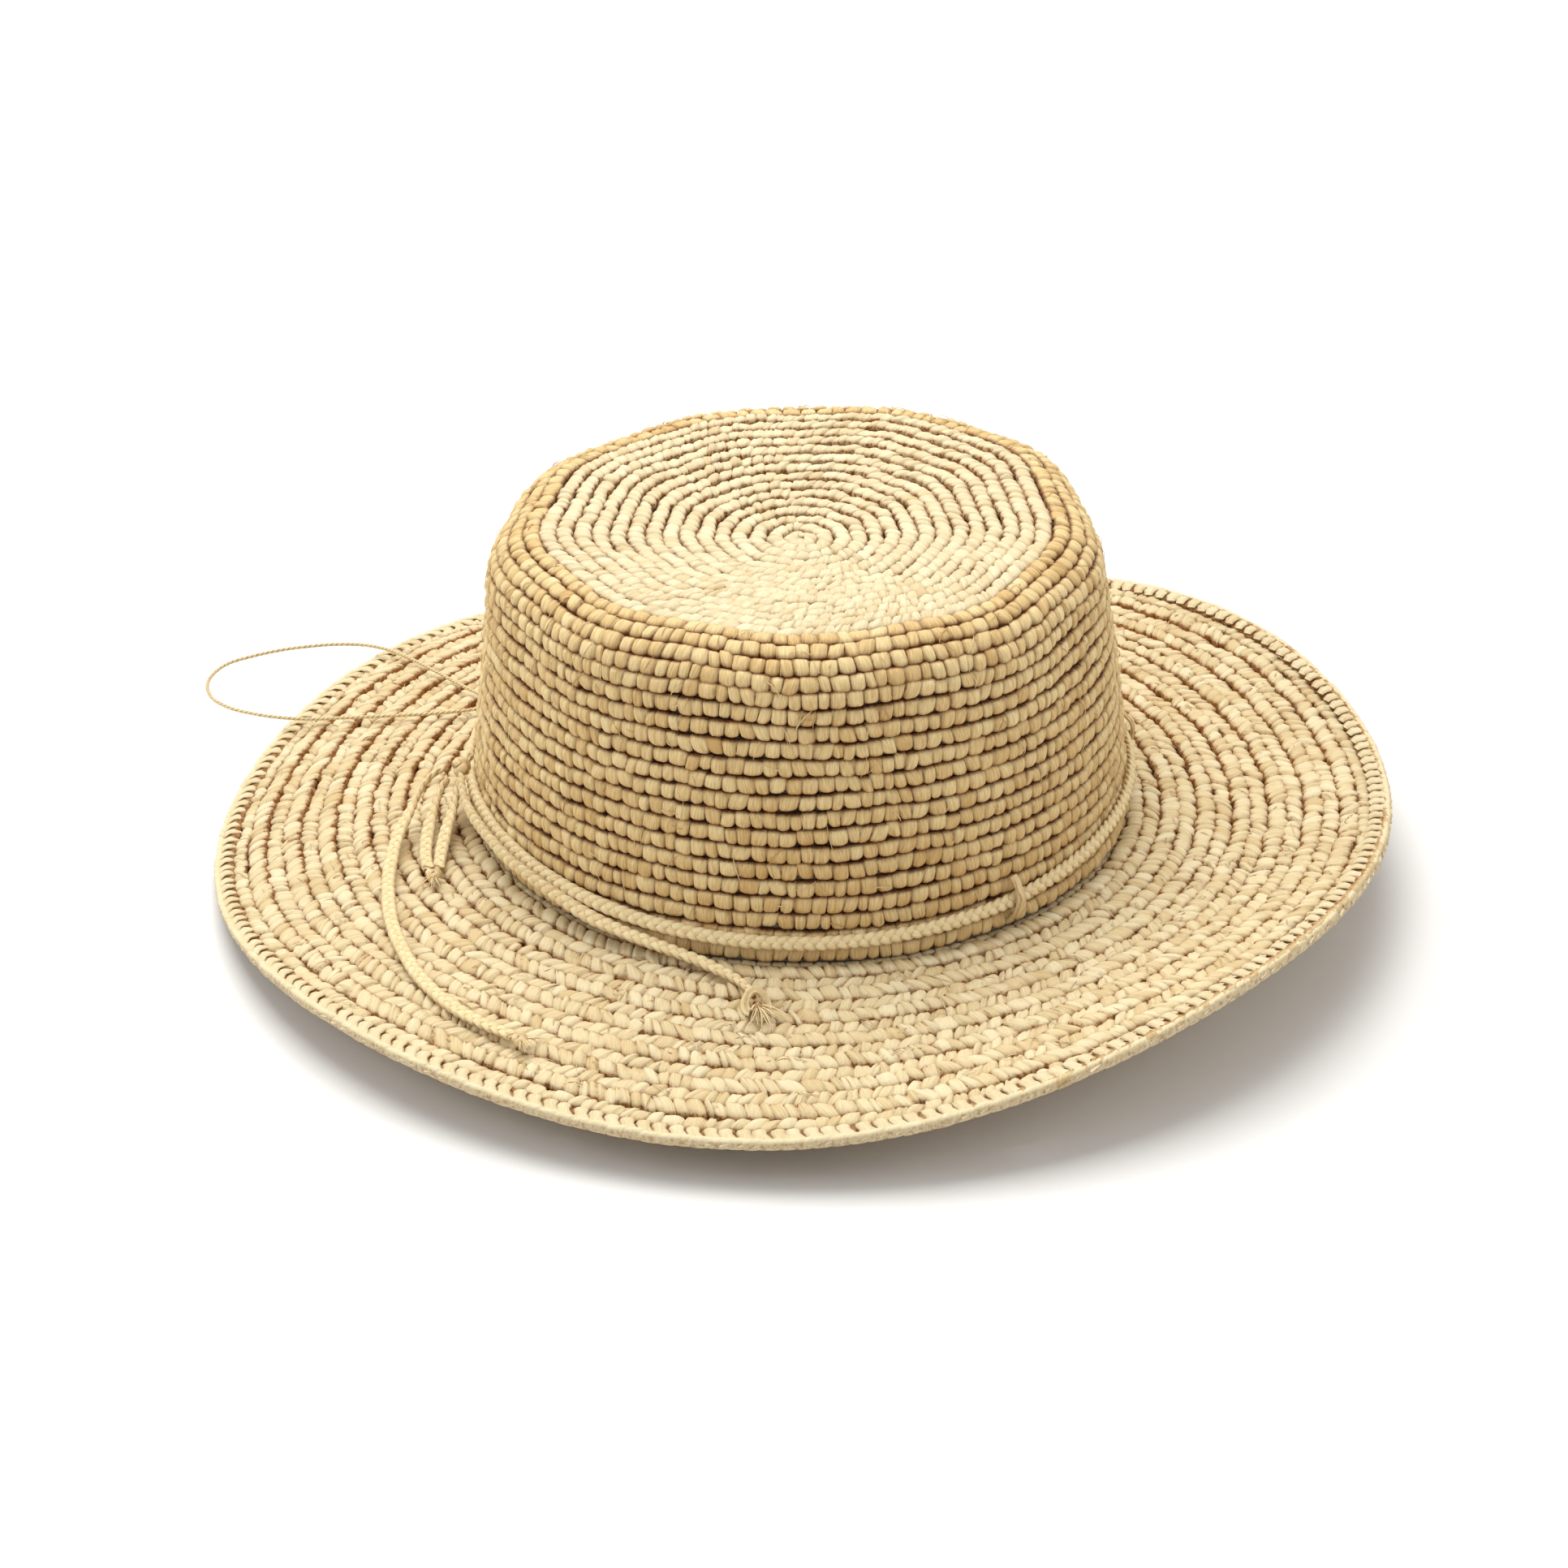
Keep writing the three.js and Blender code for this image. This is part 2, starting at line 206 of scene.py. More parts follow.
def smooth_route(route, spacing):
    """Evenly spaced points on the smooth curve through the route's points."""
    route = np.array(route, float)
    knots = np.vstack([2 * route[0] - route[1], route, 2 * route[-1] - route[-2]])
    gaps = np.linalg.norm(np.diff(knots, axis=0), axis=1) ** 0.5
    share = np.linspace(0, 1, 24, endpoint=False)[:, None]
    curve = []
    for i in range(1, len(knots) - 2):
        before, start, end, after = knots[i - 1:i + 3]
        gap_before, gap, gap_after = gaps[i - 1:i + 2]
        leave = (start - before) / gap_before - (end - before) / (gap_before + gap) + (end - start) / gap
        arrive = (end - start) / gap - (after - start) / (gap + gap_after) + (after - end) / gap_after
        curve.append(
            (2 * share**3 - 3 * share**2 + 1) * start + (share**3 - 2 * share**2 + share) * leave * gap
            + (3 * share**2 - 2 * share**3) * end + (share**3 - share**2) * arrive * gap)
    curve = np.vstack(curve + [route[-1:]])
    return evenly_spaced(curve, spacing)


def lengths_along(points):
    return np.concatenate([[0], np.cumsum(np.linalg.norm(np.diff(points, axis=0), axis=1))])


def evenly_spaced(points, spacing):
    along = lengths_along(points)
    at = np.linspace(0, along[-1], max(3, round(along[-1] / spacing)))
    return np.stack([np.interp(at, along, points[:, axis]) for axis in range(3)], axis=1)


def lying_on_hat(points):
    """The way a flat cord faces: outwards where it hangs on the crown, and up where it lies on the brim."""
    outwards = unit(points * (1, 1, 0))
    on_crown = np.clip((points[:, 2:] - LOWEST_ON_CROWN) / CROWN_LYING_HEIGHT, 0.12, 0.9)
    return unit(outwards * on_crown + UP * (1 - on_crown))


def squared(path, facing):
    """The facing made square to the path, and the direction to its side."""
    forward = unit(np.gradient(path, axis=0))
    facing = unit(facing - (facing * forward).sum(1, keepdims=True) * forward)
    return facing, np.cross(forward, facing)


def flattened(wave, roundness):
    """A sine or cosine whose section is round at 1 and nears a square at 0."""
    return np.sign(np.round(wave, 6)) * np.abs(wave) ** roundness


def side_and_lift(forward):
    side = unit(np.cross(forward, UP))
    return side, np.cross(side, forward)


def strand(centre, facing, width, thickness, key, tone, around=10, swell=1.0):
    """A ribbon of raffia along centre, flat towards facing. swell is its share of its full width."""
    along = lengths_along(centre)
    facing, side = squared(centre, facing)
    turn = np.linspace(0, 2 * math.pi, around, endpoint=False)
    across, out = flattened(np.cos(turn), STRAND_ROUNDNESS), flattened(np.sin(turn), STRAND_ROUNDNESS)
    slim = (swell * np.ones(len(along)))[:, None, None]
    rings = centre[:, None] + slim * (
        side[:, None] * (across * width / 2)[:, None] + facing[:, None] * (out * thickness / 2)[:, None])
    thread = np.zeros(rings.shape)
    thread[..., 0] = turn / (2 * math.pi) * (2 * width + thickness) * 1000
    thread[..., 1] = along[:, None] * 1000
    thread[..., 2] = key
    # Painted shade along the ribbon's two edges, for the slit beside its neighbour.
    groove = np.broadcast_to(np.clip(np.abs(across) * 1.6 - 0.75, 0, 1) * 0.55, rings.shape[:2])
    return {"rings": rings, "closed": False, "thread": thread, "groove": groove,
            "tone": np.full(rings.shape[:2], tone)}


def plait(path, facing, width, thickness, turn_length, rng, strands=3, narrowed=0.0):
    """A flat plait along path: each strand swings from edge to edge, over one and under the next.
    narrowed is the share of its width that it loses over its last stretch."""
    along = lengths_along(path)
    facing, side = squared(path, facing)
    strand_width = width * 0.56
    slim = 1 - narrowed * np.clip(1 - (along[-1] - along) / NARROWED_LENGTH, 0, 1)
    tubes = []
    for k in range(strands):
        swing = 2 * math.pi * (along / turn_length + k / strands)
        uneven = 1 + 0.06 * np.sin(along / 0.0031 + 7 * k)
        across = (width - strand_width) / 2 * np.sin(swing) * uneven * slim
        over = np.sin(2 * swing)
        centre = path + side * across[:, None] + facing * (over * thickness * 0.26)[:, None]
        tube = strand(centre, facing, strand_width, thickness * 0.56, rng.uniform(0, 90),
                      rng.uniform(0.4, 0.9), swell=slim)
        # Painted shade in the plait's middle where a strand passes under the others.
        in_middle = np.exp(-(across / (0.22 * width)) ** 2)
        tube["groove"] = np.clip(0.6 * tube["groove"] + (0.55 * in_middle * (over < 0.2))[:, None], 0, 1)
        tubes.append(tube)
    return tubes


def pack_strips(tubes):
    """A place on the unit square for each tube, unrolled and cut to strips of about the square's width."""
    sizes = []
    for tube in tubes:
        rings = tube["rings"]
        centre = rings.mean(1)
        if tube["closed"]:
            centre = np.vstack([centre, centre[:1]])
        girth = np.linalg.norm(np.roll(rings, -1, 1) - rings, axis=-1).sum(1).mean()
        sizes.append((lengths_along(centre)[-1], girth))
    sheet = 1.04 * math.sqrt(sum(length * girth for length, girth in sizes))
    margin = 0.004 * sheet
    x, y, shelf = 0.0, 0.0, 0.0
    places = []
    for tube, (length, girth) in zip(tubes, sizes):
        steps = len(tube["rings"]) - (0 if tube["closed"] else 1)
        cuts = max(1, math.ceil(length / sheet))
        steps_each = math.ceil(steps / cuts)
        strips = []
        for _ in range(cuts):
            strip = length * steps_each / steps
            if x > 0 and x + strip > 1.05 * sheet:
                x, y, shelf = 0.0, y + shelf + margin, 0.0
            strips.append((x, y))
            x, shelf = x + strip + margin, max(shelf, girth)
        places.append((strips, steps_each, length / steps, girth))
    return places, max(1.05 * sheet + margin, y + shelf + margin)


def tube_piece(name, tubes, material):
    """One mesh of many closed tubes, each with its painted shade, its tone and its thread coordinates."""
    places, sheet = pack_strips(tubes)
    corners, sizes, uvs = [], [], []
    first = 0
    for tube, (strips, steps_each, step, girth) in zip(tubes, places):
        rings = tube["rings"]
        count, around = rings.shape[:2]
        i = np.arange(count if tube["closed"] else count - 1)[:, None]
        j = np.arange(around)[None, :]
        after, beside = (i + 1) % count, (j + 1) % around
        quad = np.stack(
            [i * around + j, after * around + j, after * around + beside, i * around + beside], -1)
        flat = rings.reshape(-1, 3)
        a, b, c, d = (flat[quad[..., k]] for k in range(4))
        inside_out = (np.cross(b - a, d - a) * (a - rings.mean(1)[i[:, 0]][:, None])).sum() < 0
        strip = i // steps_each
        corner = np.array(strips)[strip[:, 0]]
        u0 = corner[:, :1] + (i - strip * steps_each) * step + 0 * j
        v0 = corner[:, 1:] + girth * j / around + 0 * i
        uv = np.stack([np.stack([u0, v0], -1), np.stack([u0 + step, v0], -1),
                       np.stack([u0 + step, v0 + girth / around], -1),
                       np.stack([u0, v0 + girth / around], -1)], 2)
        if inside_out:
            quad, uv = quad[..., ::-1], uv[..., ::-1, :]
        corners.append((first + quad).reshape(-1))
        uvs.append(uv.reshape(-1, 2))
        sizes.append(np.full(quad.shape[0] * around, 4))
        if not tube["closed"]:
            for ring, backwards in ((0, not inside_out), (count - 1, inside_out)):
                cap = ring * around + np.arange(around)
                corners.append(first + (cap[::-1] if backwards else cap))
                uvs.append(np.tile((u0[min(ring, count - 2), 0], v0[0, 0]), (around, 1)))
                sizes.append(np.array([around]))
        first += count * around
    corners, sizes, uvs = np.concatenate(corners), np.concatenate(sizes), np.concatenate(uvs) / sheet

    mesh = bpy.data.meshes.new(name)
    mesh.vertices.add(first)
    mesh.vertices.foreach_set("co", np.concatenate([t["rings"].reshape(-1) for t in tubes]))
    mesh.loops.add(len(corners))
    mesh.loops.foreach_set("vertex_index", corners.astype(np.int32))
    mesh.polygons.add(len(sizes))
    starts = np.concatenate([[0], np.cumsum(sizes)[:-1]])
    mesh.polygons.foreach_set("loop_start", starts.astype(np.int32))
    mesh.polygons.foreach_set("loop_total", sizes.astype(np.int32))
    mesh.update(calc_edges=True)
    mesh.shade_smooth()
    mesh.uv_layers.new(name="OFBake").uv.foreach_set("vector", uvs.astype(np.float32).reshape(-1))
    for key, kind, slot in (("groove", "FLOAT", "value"), ("tone", "FLOAT", "value"),
                            ("thread", "FLOAT_VECTOR", "vector")):
        values = np.concatenate([t[key].reshape(-1) for t in tubes])
        mesh.attributes.new(key, kind, "POINT").data.foreach_set(slot, values.astype(np.float32))
    mesh.materials.append(material)
    made = bpy.data.objects.new(name, mesh)
    scene.collection.objects.link(made)
    return made


def raffia_group():
    """Dried palm fibre: fine ridges along each strand and blotches, with painted shade in the gap colour
    where it turns into a gap.
    """
    group = bpy.data.node_groups.new("raffia_fibre", "ShaderNodeTree")
    face = group.interface
    for name, way, kind in (
            ("Pale", "INPUT", "Color"), ("Straw", "INPUT", "Color"), ("Gap", "INPUT", "Color"),
            ("Fibres per mm", "INPUT", "Float"), ("Gap Strength", "INPUT", "Float"),
            ("Speckle", "INPUT", "Float"), ("Color", "OUTPUT", "Color"), ("Height", "OUTPUT", "Float"),
            ("Roughness", "OUTPUT", "Float")):
        face.new_socket(name, in_out=way, socket_type=f"NodeSocket{kind}")
    given, result = node(group, "NodeGroupInput"), node(group, "NodeGroupOutput")
    link = group.links.new

    def attribute(name):
        return node(group, "ShaderNodeAttribute", attribute_name=name)

    def maths(operation, first, second, clamp=False):
        made = node(group, "ShaderNodeMath", operation=operation, use_clamp=clamp)
        for socket, value in zip(made.inputs, (first, second)):
            if isinstance(value, (int, float)):
                socket.default_value = value
            else:
                link(value, socket)
        return made.outputs["Value"]

    def noise_at(vector, scale, detail):
        made = noise(group, scale, detail)
        link(vector, made.inputs["Vector"])
        return made.outputs["Fac"]

    def mix(share, first, second):
        sockets = colour_mix(group)
        link(share, sockets["Factor_Float"])
        link(first, sockets["A_Color"])
        link(second, sockets["B_Color"])
        return sockets["Result_Color"]

    thread = node(group, "ShaderNodeSeparateXYZ")
    link(attribute("thread").outputs["Vector"], thread.inputs["Vector"])
    stretched = node(group, "ShaderNodeCombineXYZ")
    link(maths("MULTIPLY", thread.outputs["X"], given.outputs["Fibres per mm"]), stretched.inputs["X"])
    link(maths("MULTIPLY", thread.outputs["Y"], 0.3), stretched.inputs["Y"])
    link(maths("MULTIPLY", thread.outputs["Z"], 1.7), stretched.inputs["Z"])
    fibres = noise_at(stretched.outputs["Vector"], 1.0, 3)
    folds = noise_at(stretched.outputs["Vector"], 0.31, 1)
    place = node(group, "ShaderNodeTexCoord").outputs["Object"]
    blotches = noise_at(place, 55, 3)
    specks = noise_at(place, 900, 2)

    tone = attribute("tone").outputs["Fac"]
    shade = maths("ADD", maths("MULTIPLY", maths("SUBTRACT", fibres, 0.5), 2.1), tone)
    shade = maths("ADD", shade, maths("MULTIPLY", maths("SUBTRACT", blotches, 0.5), 0.45), clamp=True)
    plain = mix(shade, given.outputs["Straw"], given.outputs["Pale"])
    groove = attribute("groove").outputs["Fac"]
    dots = maths("MULTIPLY", maths("SUBTRACT", specks, 0.5), 8, clamp=True)
    speckles = maths("MULTIPLY", dots, given.outputs["Speckle"])
    # Painted shade: the gap colour, mixed in where the mesh marks gaps, stronger in random specks.
    depth = maths("MULTIPLY", groove, maths("ADD", given.outputs["Gap Strength"], speckles), clamp=True)
    height = maths("ADD", maths("MULTIPLY", fibres, 0.55), maths("MULTIPLY", folds, 0.75))
    link(mix(depth, plain, given.outputs["Gap"]), result.inputs["Color"])
    link(height, result.inputs["Height"])
    link(maths("ADD", 0.5, maths("MULTIPLY", fibres, 0.35)), result.inputs["Roughness"])
    return group


raffia_fibre = raffia_group()


def raffia_material(name, colours, fibres=4.0, gap_strength=0.8, speckle=0.4):
    """Raffia of three colours: pale, straw, and the gap colour for painted shade."""
    material, tree, surface = plain_material(name, colours[1], 0.65, specular=0.25, sheen=0.03)
    grain = node(tree, "ShaderNodeGroup", node_tree=raffia_fibre)
    for key, colour in zip(("Pale", "Straw", "Gap"), colours):
        grain.inputs[key].default_value = (*colour, 1)
    for key, value in (("Fibres per mm", fibres), ("Gap Strength", gap_strength), ("Speckle", speckle)):
        grain.inputs[key].default_value = value
    tree.links.new(grain.outputs["Color"], surface.inputs["Base Color"])
    tree.links.new(grain.outputs["Roughness"], surface.inputs["Roughness"])
    add_bump(tree, surface, grain.outputs["Height"], 0.6, 0.0004)
    return material


# Pale, straw, and the gap colour painted as shade.
PLAIT_COLOURS = ((0.90, 0.76, 0.46), (0.76, 0.57, 0.29), (0.26, 0.11, 0.03))
plaited_raffia = raffia_material("plaited_raffia", PLAIT_COLOURS, gap_strength=0.6)


def hat_piece(name, tubes, material, body, slot, *nodes):
    made = tube_piece(name, tubes, material)
    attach(made, body)
    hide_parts(*nodes)
    return made


def cord_piece(name, tubes, body, cad_node):
    return hat_piece(name, tubes, plaited_raffia, body, "raffia_cord", cad_node)


tail_rng = np.random.default_rng(11)
cord_pieces = {}
for cord_name, route in (("front_tail", FRONT_TAIL_ROUTE), ("long_tail", LONG_TAIL_ROUTE),
                         ("inner_bow_strand", INNER_BOW_ROUTE), ("outer_bow_strand", OUTER_BOW_ROUTE)):
    path = smooth_route(route, ROUTE_STEP)
    tubes = plait(path, lying_on_hat(path), PLAIT_WIDTH, PLAIT_THICKNESS, PLAIT_TURN, tail_rng,
                  narrowed=0.45 if cord_name == "front_tail" else 0.1)
    cord_pieces[cord_name] = (cord_piece(f"{cord_name}_plait", tubes, "hat_band", cord_name), path)


HOOD_RADIUS = 0.0031
HOOD_STRAND = 0.0026
HOOD_RISE = 0.0011
HOOD_SAG = 0.0016
HOOD_THICKNESS = 0.0011
# How much painted shade the end knot's wraps get, for the hollow under its hood.
HOLLOW_DARKNESS = 0.95
END_KNOT_SIZE = (0.0066, 0.0064, 0.005)
TUFT_KNOT_SIZE = (0.0058, 0.0058, 0.0042)
BOW_END_SIZE = (0.0066, 0.0064, 0.0042)
KNOT_STRAND = 0.0023
END_POINTS = 12


def knot_tubes(place, size, strand_width, rng, wraps=2, tilt=0.0):
    """An overhand knot pulled tight: the plait's strands follow each other round a trefoil."""
    place, size = np.array(place), np.array(size)
    along = np.linspace(0.3, 2 * math.pi - 0.3, 110)
    trefoil = np.stack([np.sin(along) + 2 * np.sin(2 * along), np.cos(along) - 2 * np.cos(2 * along),
                        -1.6 * np.sin(3 * along)], axis=1) / 3
    turn = np.array([[math.cos(tilt), 0, math.sin(tilt)], [0, 1, 0], [-math.sin(tilt), 0, math.cos(tilt)]])
    tubes = []
    for k in range(wraps):
        spread = 0.86 - 0.22 * k
        centre = (trefoil * spread) @ turn.T * (size - strand_width) / 2 + place
        tubes.append(strand(centre, unit(centre - place), strand_width, strand_width * 0.62,
                            rng.uniform(0, 90), rng.uniform(0.3, 0.7)))
    return tubes


def wisps(root, forward, count, length, spread, rng, width=0.00055, droop=0.25):
    """Loose ends of raffia that fan out from root and fall a little."""
    root, forward = np.array(root, float), unit(np.array(forward, float))
    side, lift = side_and_lift(forward)
    tubes = []
    for _ in range(count):
        fan = rng.normal(0, spread, 2)
        reach = length * rng.uniform(0.55, 1.0)
        share = np.linspace(0, 1, 14)[:, None]
        heading = unit(forward + side * fan[0] + lift * abs(fan[1]) * 0.7)
        bend = side * rng.normal(0, 0.18) - UP * droop
        centre = root + heading * reach * share + bend * reach * share**2
        wide = width * rng.uniform(0.6, 1.5)
        tubes.append(strand(centre, np.tile(lift, (14, 1)), wide, wide * 0.35, rng.uniform(0, 90),
                            rng.uniform(0.2, 0.9), around=6, swell=1 - 0.8 * share[:, 0]))
    return tubes


def hood(place, radius, strand_width, rng):
    """The last turn of a knot, an arch loose enough to leave a hollow under it."""
    tubes = []
    for size in (1, 0.78, 1.15):
        around = np.linspace(-0.75, math.pi + 0.75, 40) + rng.normal(0, 0.15)
        across, ahead = np.array((1.0, 0.25, 0)), np.array((-0.2, 0.95, 0.55))
        out = np.cos(around)[:, None] * across + np.sin(around)[:, None] * ahead
        lift = HOOD_RISE - HOOD_SAG * np.cos(around)[:, None] ** 2
        centre = np.array(place) + out * radius * size + UP * lift
        tubes.append(strand(centre, unit(out + UP), strand_width * rng.uniform(0.7, 1.1), HOOD_THICKNESS,
                            rng.uniform(0, 90), rng.uniform(0.5, 0.9),
                            swell=0.45 + 0.55 * np.sin(np.linspace(0.2, math.pi - 0.2, 40))))
    return tubes


def middle(cad_node):
    low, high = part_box(cad_node)
    return np.array((low + high) / 2)


def end_direction(cord_name):
    path = cord_pieces[cord_name][1]
    return unit(path[-1] - path[-END_POINTS])


front_end, long_end = end_direction("front_tail"), end_direction("long_tail")
knot_place = middle("front_tail_knot")
# The end knot's wraps are painted dark all over, as the shade in the hollow under the hood.
front_knot = cord_piece(
    "front_tail_end_knot",
    [{**tube, "groove": np.full(tube["rings"].shape[:2], HOLLOW_DARKNESS)}
     for tube in knot_tubes(knot_place, END_KNOT_SIZE, KNOT_STRAND, tail_rng)]
    + hood(knot_place, HOOD_RADIUS, HOOD_STRAND, tail_rng)
    + wisps(knot_place, front_end + (0.1, 0, 0.1), 22, 0.0105, 0.55, tail_rng, 0.0008)
    + wisps(knot_place, front_end + (0.9, 0.2, 0.1), 1, 0.015, 0.05, tail_rng, 0.0009, 0.05),
    "hat_band", "front_tail_knot")
tuft_place = middle("long_tail_tuft")
long_knot = cord_piece(
    "long_tail_end_tuft",
    knot_tubes(tuft_place, TUFT_KNOT_SIZE, KNOT_STRAND, tail_rng)
    + wisps(tuft_place, long_end + (0, 0, 0.1), 16, 0.0075, 0.6, tail_rng, 0.0007),
    "hat_band", "long_tail_tuft")
bow_end_place = middle("bow_end_knot")
bow_end = cord_piece(
    "bow_end_tuft",
    knot_tubes(bow_end_place, BOW_END_SIZE, KNOT_STRAND, tail_rng, tilt=0.4)
    + wisps(bow_end_place, (0.15, -1, 0), 14, 0.008, 0.5, tail_rng),
    "hat_band", "bow_end_knot")


for cord_name, far_end, end_pieces in (
        ("front_tail", "knot", [front_knot]), ("long_tail", "knot", [long_knot]),
        ("inner_bow_strand", "knot", [bow_end]), ("outer_bow_strand", "object", [])):
    piece, path = cord_pieces[cord_name]

# ---- The hanging loop ----
# A thin two-ply twist of raffia, tied where the crown meets the brim. It lies out over the brim
# and comes back to the same knot.

LOOP_THICKNESS = 0.0012
LOOP_TWIST = 0.0034
LOOP_KNOT_SIZE = (0.0044, 0.0044, 0.0044)
HANG_LOOP_ROUTE = [
    (-0.0892, 0.0492, 0.024), (-0.0926, 0.0526, 0.023), (-0.0972, 0.0576, 0.0217),
    (-0.1041, 0.0671, 0.0199), (-0.1112, 0.0773, 0.0183), (-0.1198, 0.0896, 0.0161),
    (-0.1286, 0.1008, 0.0137), (-0.1368, 0.107, 0.0122), (-0.1459, 0.1092, 0.0113),
    (-0.1547, 0.1087, 0.0108), (-0.1635, 0.1069, 0.0104), (-0.172, 0.1035, 0.01),
    (-0.1791, 0.0991, 0.0097), (-0.1829, 0.0926, 0.0095), (-0.1838, 0.0853, 0.0095),
    (-0.1812, 0.0767, 0.0096), (-0.1746, 0.0698, 0.0098), (-0.166, 0.0652, 0.0102),
    (-0.1575, 0.0616, 0.011), (-0.1482, 0.058, 0.0126), (-0.139, 0.0546, 0.0149),
    (-0.1261, 0.0506, 0.0177), (-0.111, 0.0478, 0.0202), (-0.0987, 0.0466, 0.0222),
    (-0.0912, 0.0464, 0.0238),
]


def twist(path, thickness, turn_length, rng, plies=2):
    along = lengths_along(path)
    side, lift = side_and_lift(unit(np.gradient(path, axis=0)))
    tubes = []
    for k in range(plies):
        swing = (2 * math.pi * (along / turn_length + k / plies))[:, None]
        out = side * np.cos(swing) + lift * np.sin(swing)
        tubes.append(strand(path + out * thickness * 0.23, out, thickness * 0.7, thickness * 0.5,
                            rng.uniform(0, 90), rng.uniform(0.4, 0.8), around=8))
    return tubes


loop_path = smooth_route(HANG_LOOP_ROUTE, ROUTE_STEP)
loop = cord_piece(
    "hang_loop_twist", twist(loop_path, LOOP_THICKNESS, LOOP_TWIST, tail_rng), "hang_loop", "hang_loop")
loop_knot = cord_piece(
    "hang_loop_end_knot", knot_tubes(middle("hang_loop_knot"), LOOP_KNOT_SIZE, 0.0011, tail_rng, wraps=3),
    "hang_loop", "hang_loop_knot")

# ---- The crown ----
# Crocheted from folded raffia in rounds: a slightly sunken tip worked from its centre, a rounded
# shoulder, and a tapered wall. Every stitch is a plump upright pillow, with painted shade in the gap under
# each round.

THICKNESS = 0.0032
ROUND_HEIGHT = 0.00485
STITCH_WIDTH = 0.0041
TIP_SINK = 0.0055
TIP_SETTLED = 0.002
TIP_TUCK = 0.0005
SHOULDER_RADIUS = 0.015
CROWN_TOP_RADIUS = 0.088
SUNK_BELOW_FACE = 0.0004
STITCH_MIDDLE_DEPTH = THICKNESS / 2 + SUNK_BELOW_FACE
PRESSED_ABOVE = 0.05
LOOSE_FIBRES = 420
WALL_CREST = 0.00215
WALL_DIP = 0.0011
SHOULDER_DIP = 0.0007
TIP_CREST = 0.00205
TIP_DIP = 0.0014
side_low, side_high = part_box("crown_side")
tip_low, tip_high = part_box("crown_tip")
CROWN_FOOT = side_low.z
CROWN_TOP = side_high.z
CROWN_BASE_RADIUS = (side_high.x - side_low.x) / 2
TIP_RADIUS = (tip_high.x - tip_low.x) / 2
ACROSS_STITCH = np.array((-1, -0.84, -0.5, -0.17, 0.17, 0.5, 0.84))
ACROSS_LEG = np.array((-1, -0.8, -0.4, 0, 0.4, 0.8))
PLUMPNESS = 2.7
# Painted shade in the gaps: it starts this far below a stitch's crest and reaches full strength this share
# lower. On a stitch's back it grows towards the round's edges.
DARK_BELOW_CREST = 0.83
DARKENING = 0.42
BACK_DARKNESS = 1.1
FOLD_SIZE = 0.00009
STITCH_SHIFT = 0.00013
STAINED_SHARE = 0.004
AROUND_STITCH = np.radians((0, 24, 46, 68, 90, 112, 134, 156, 180, 225, 270, 315))
ROUNDNESS = 0.84
BACK_ROUNDNESS = 0.3


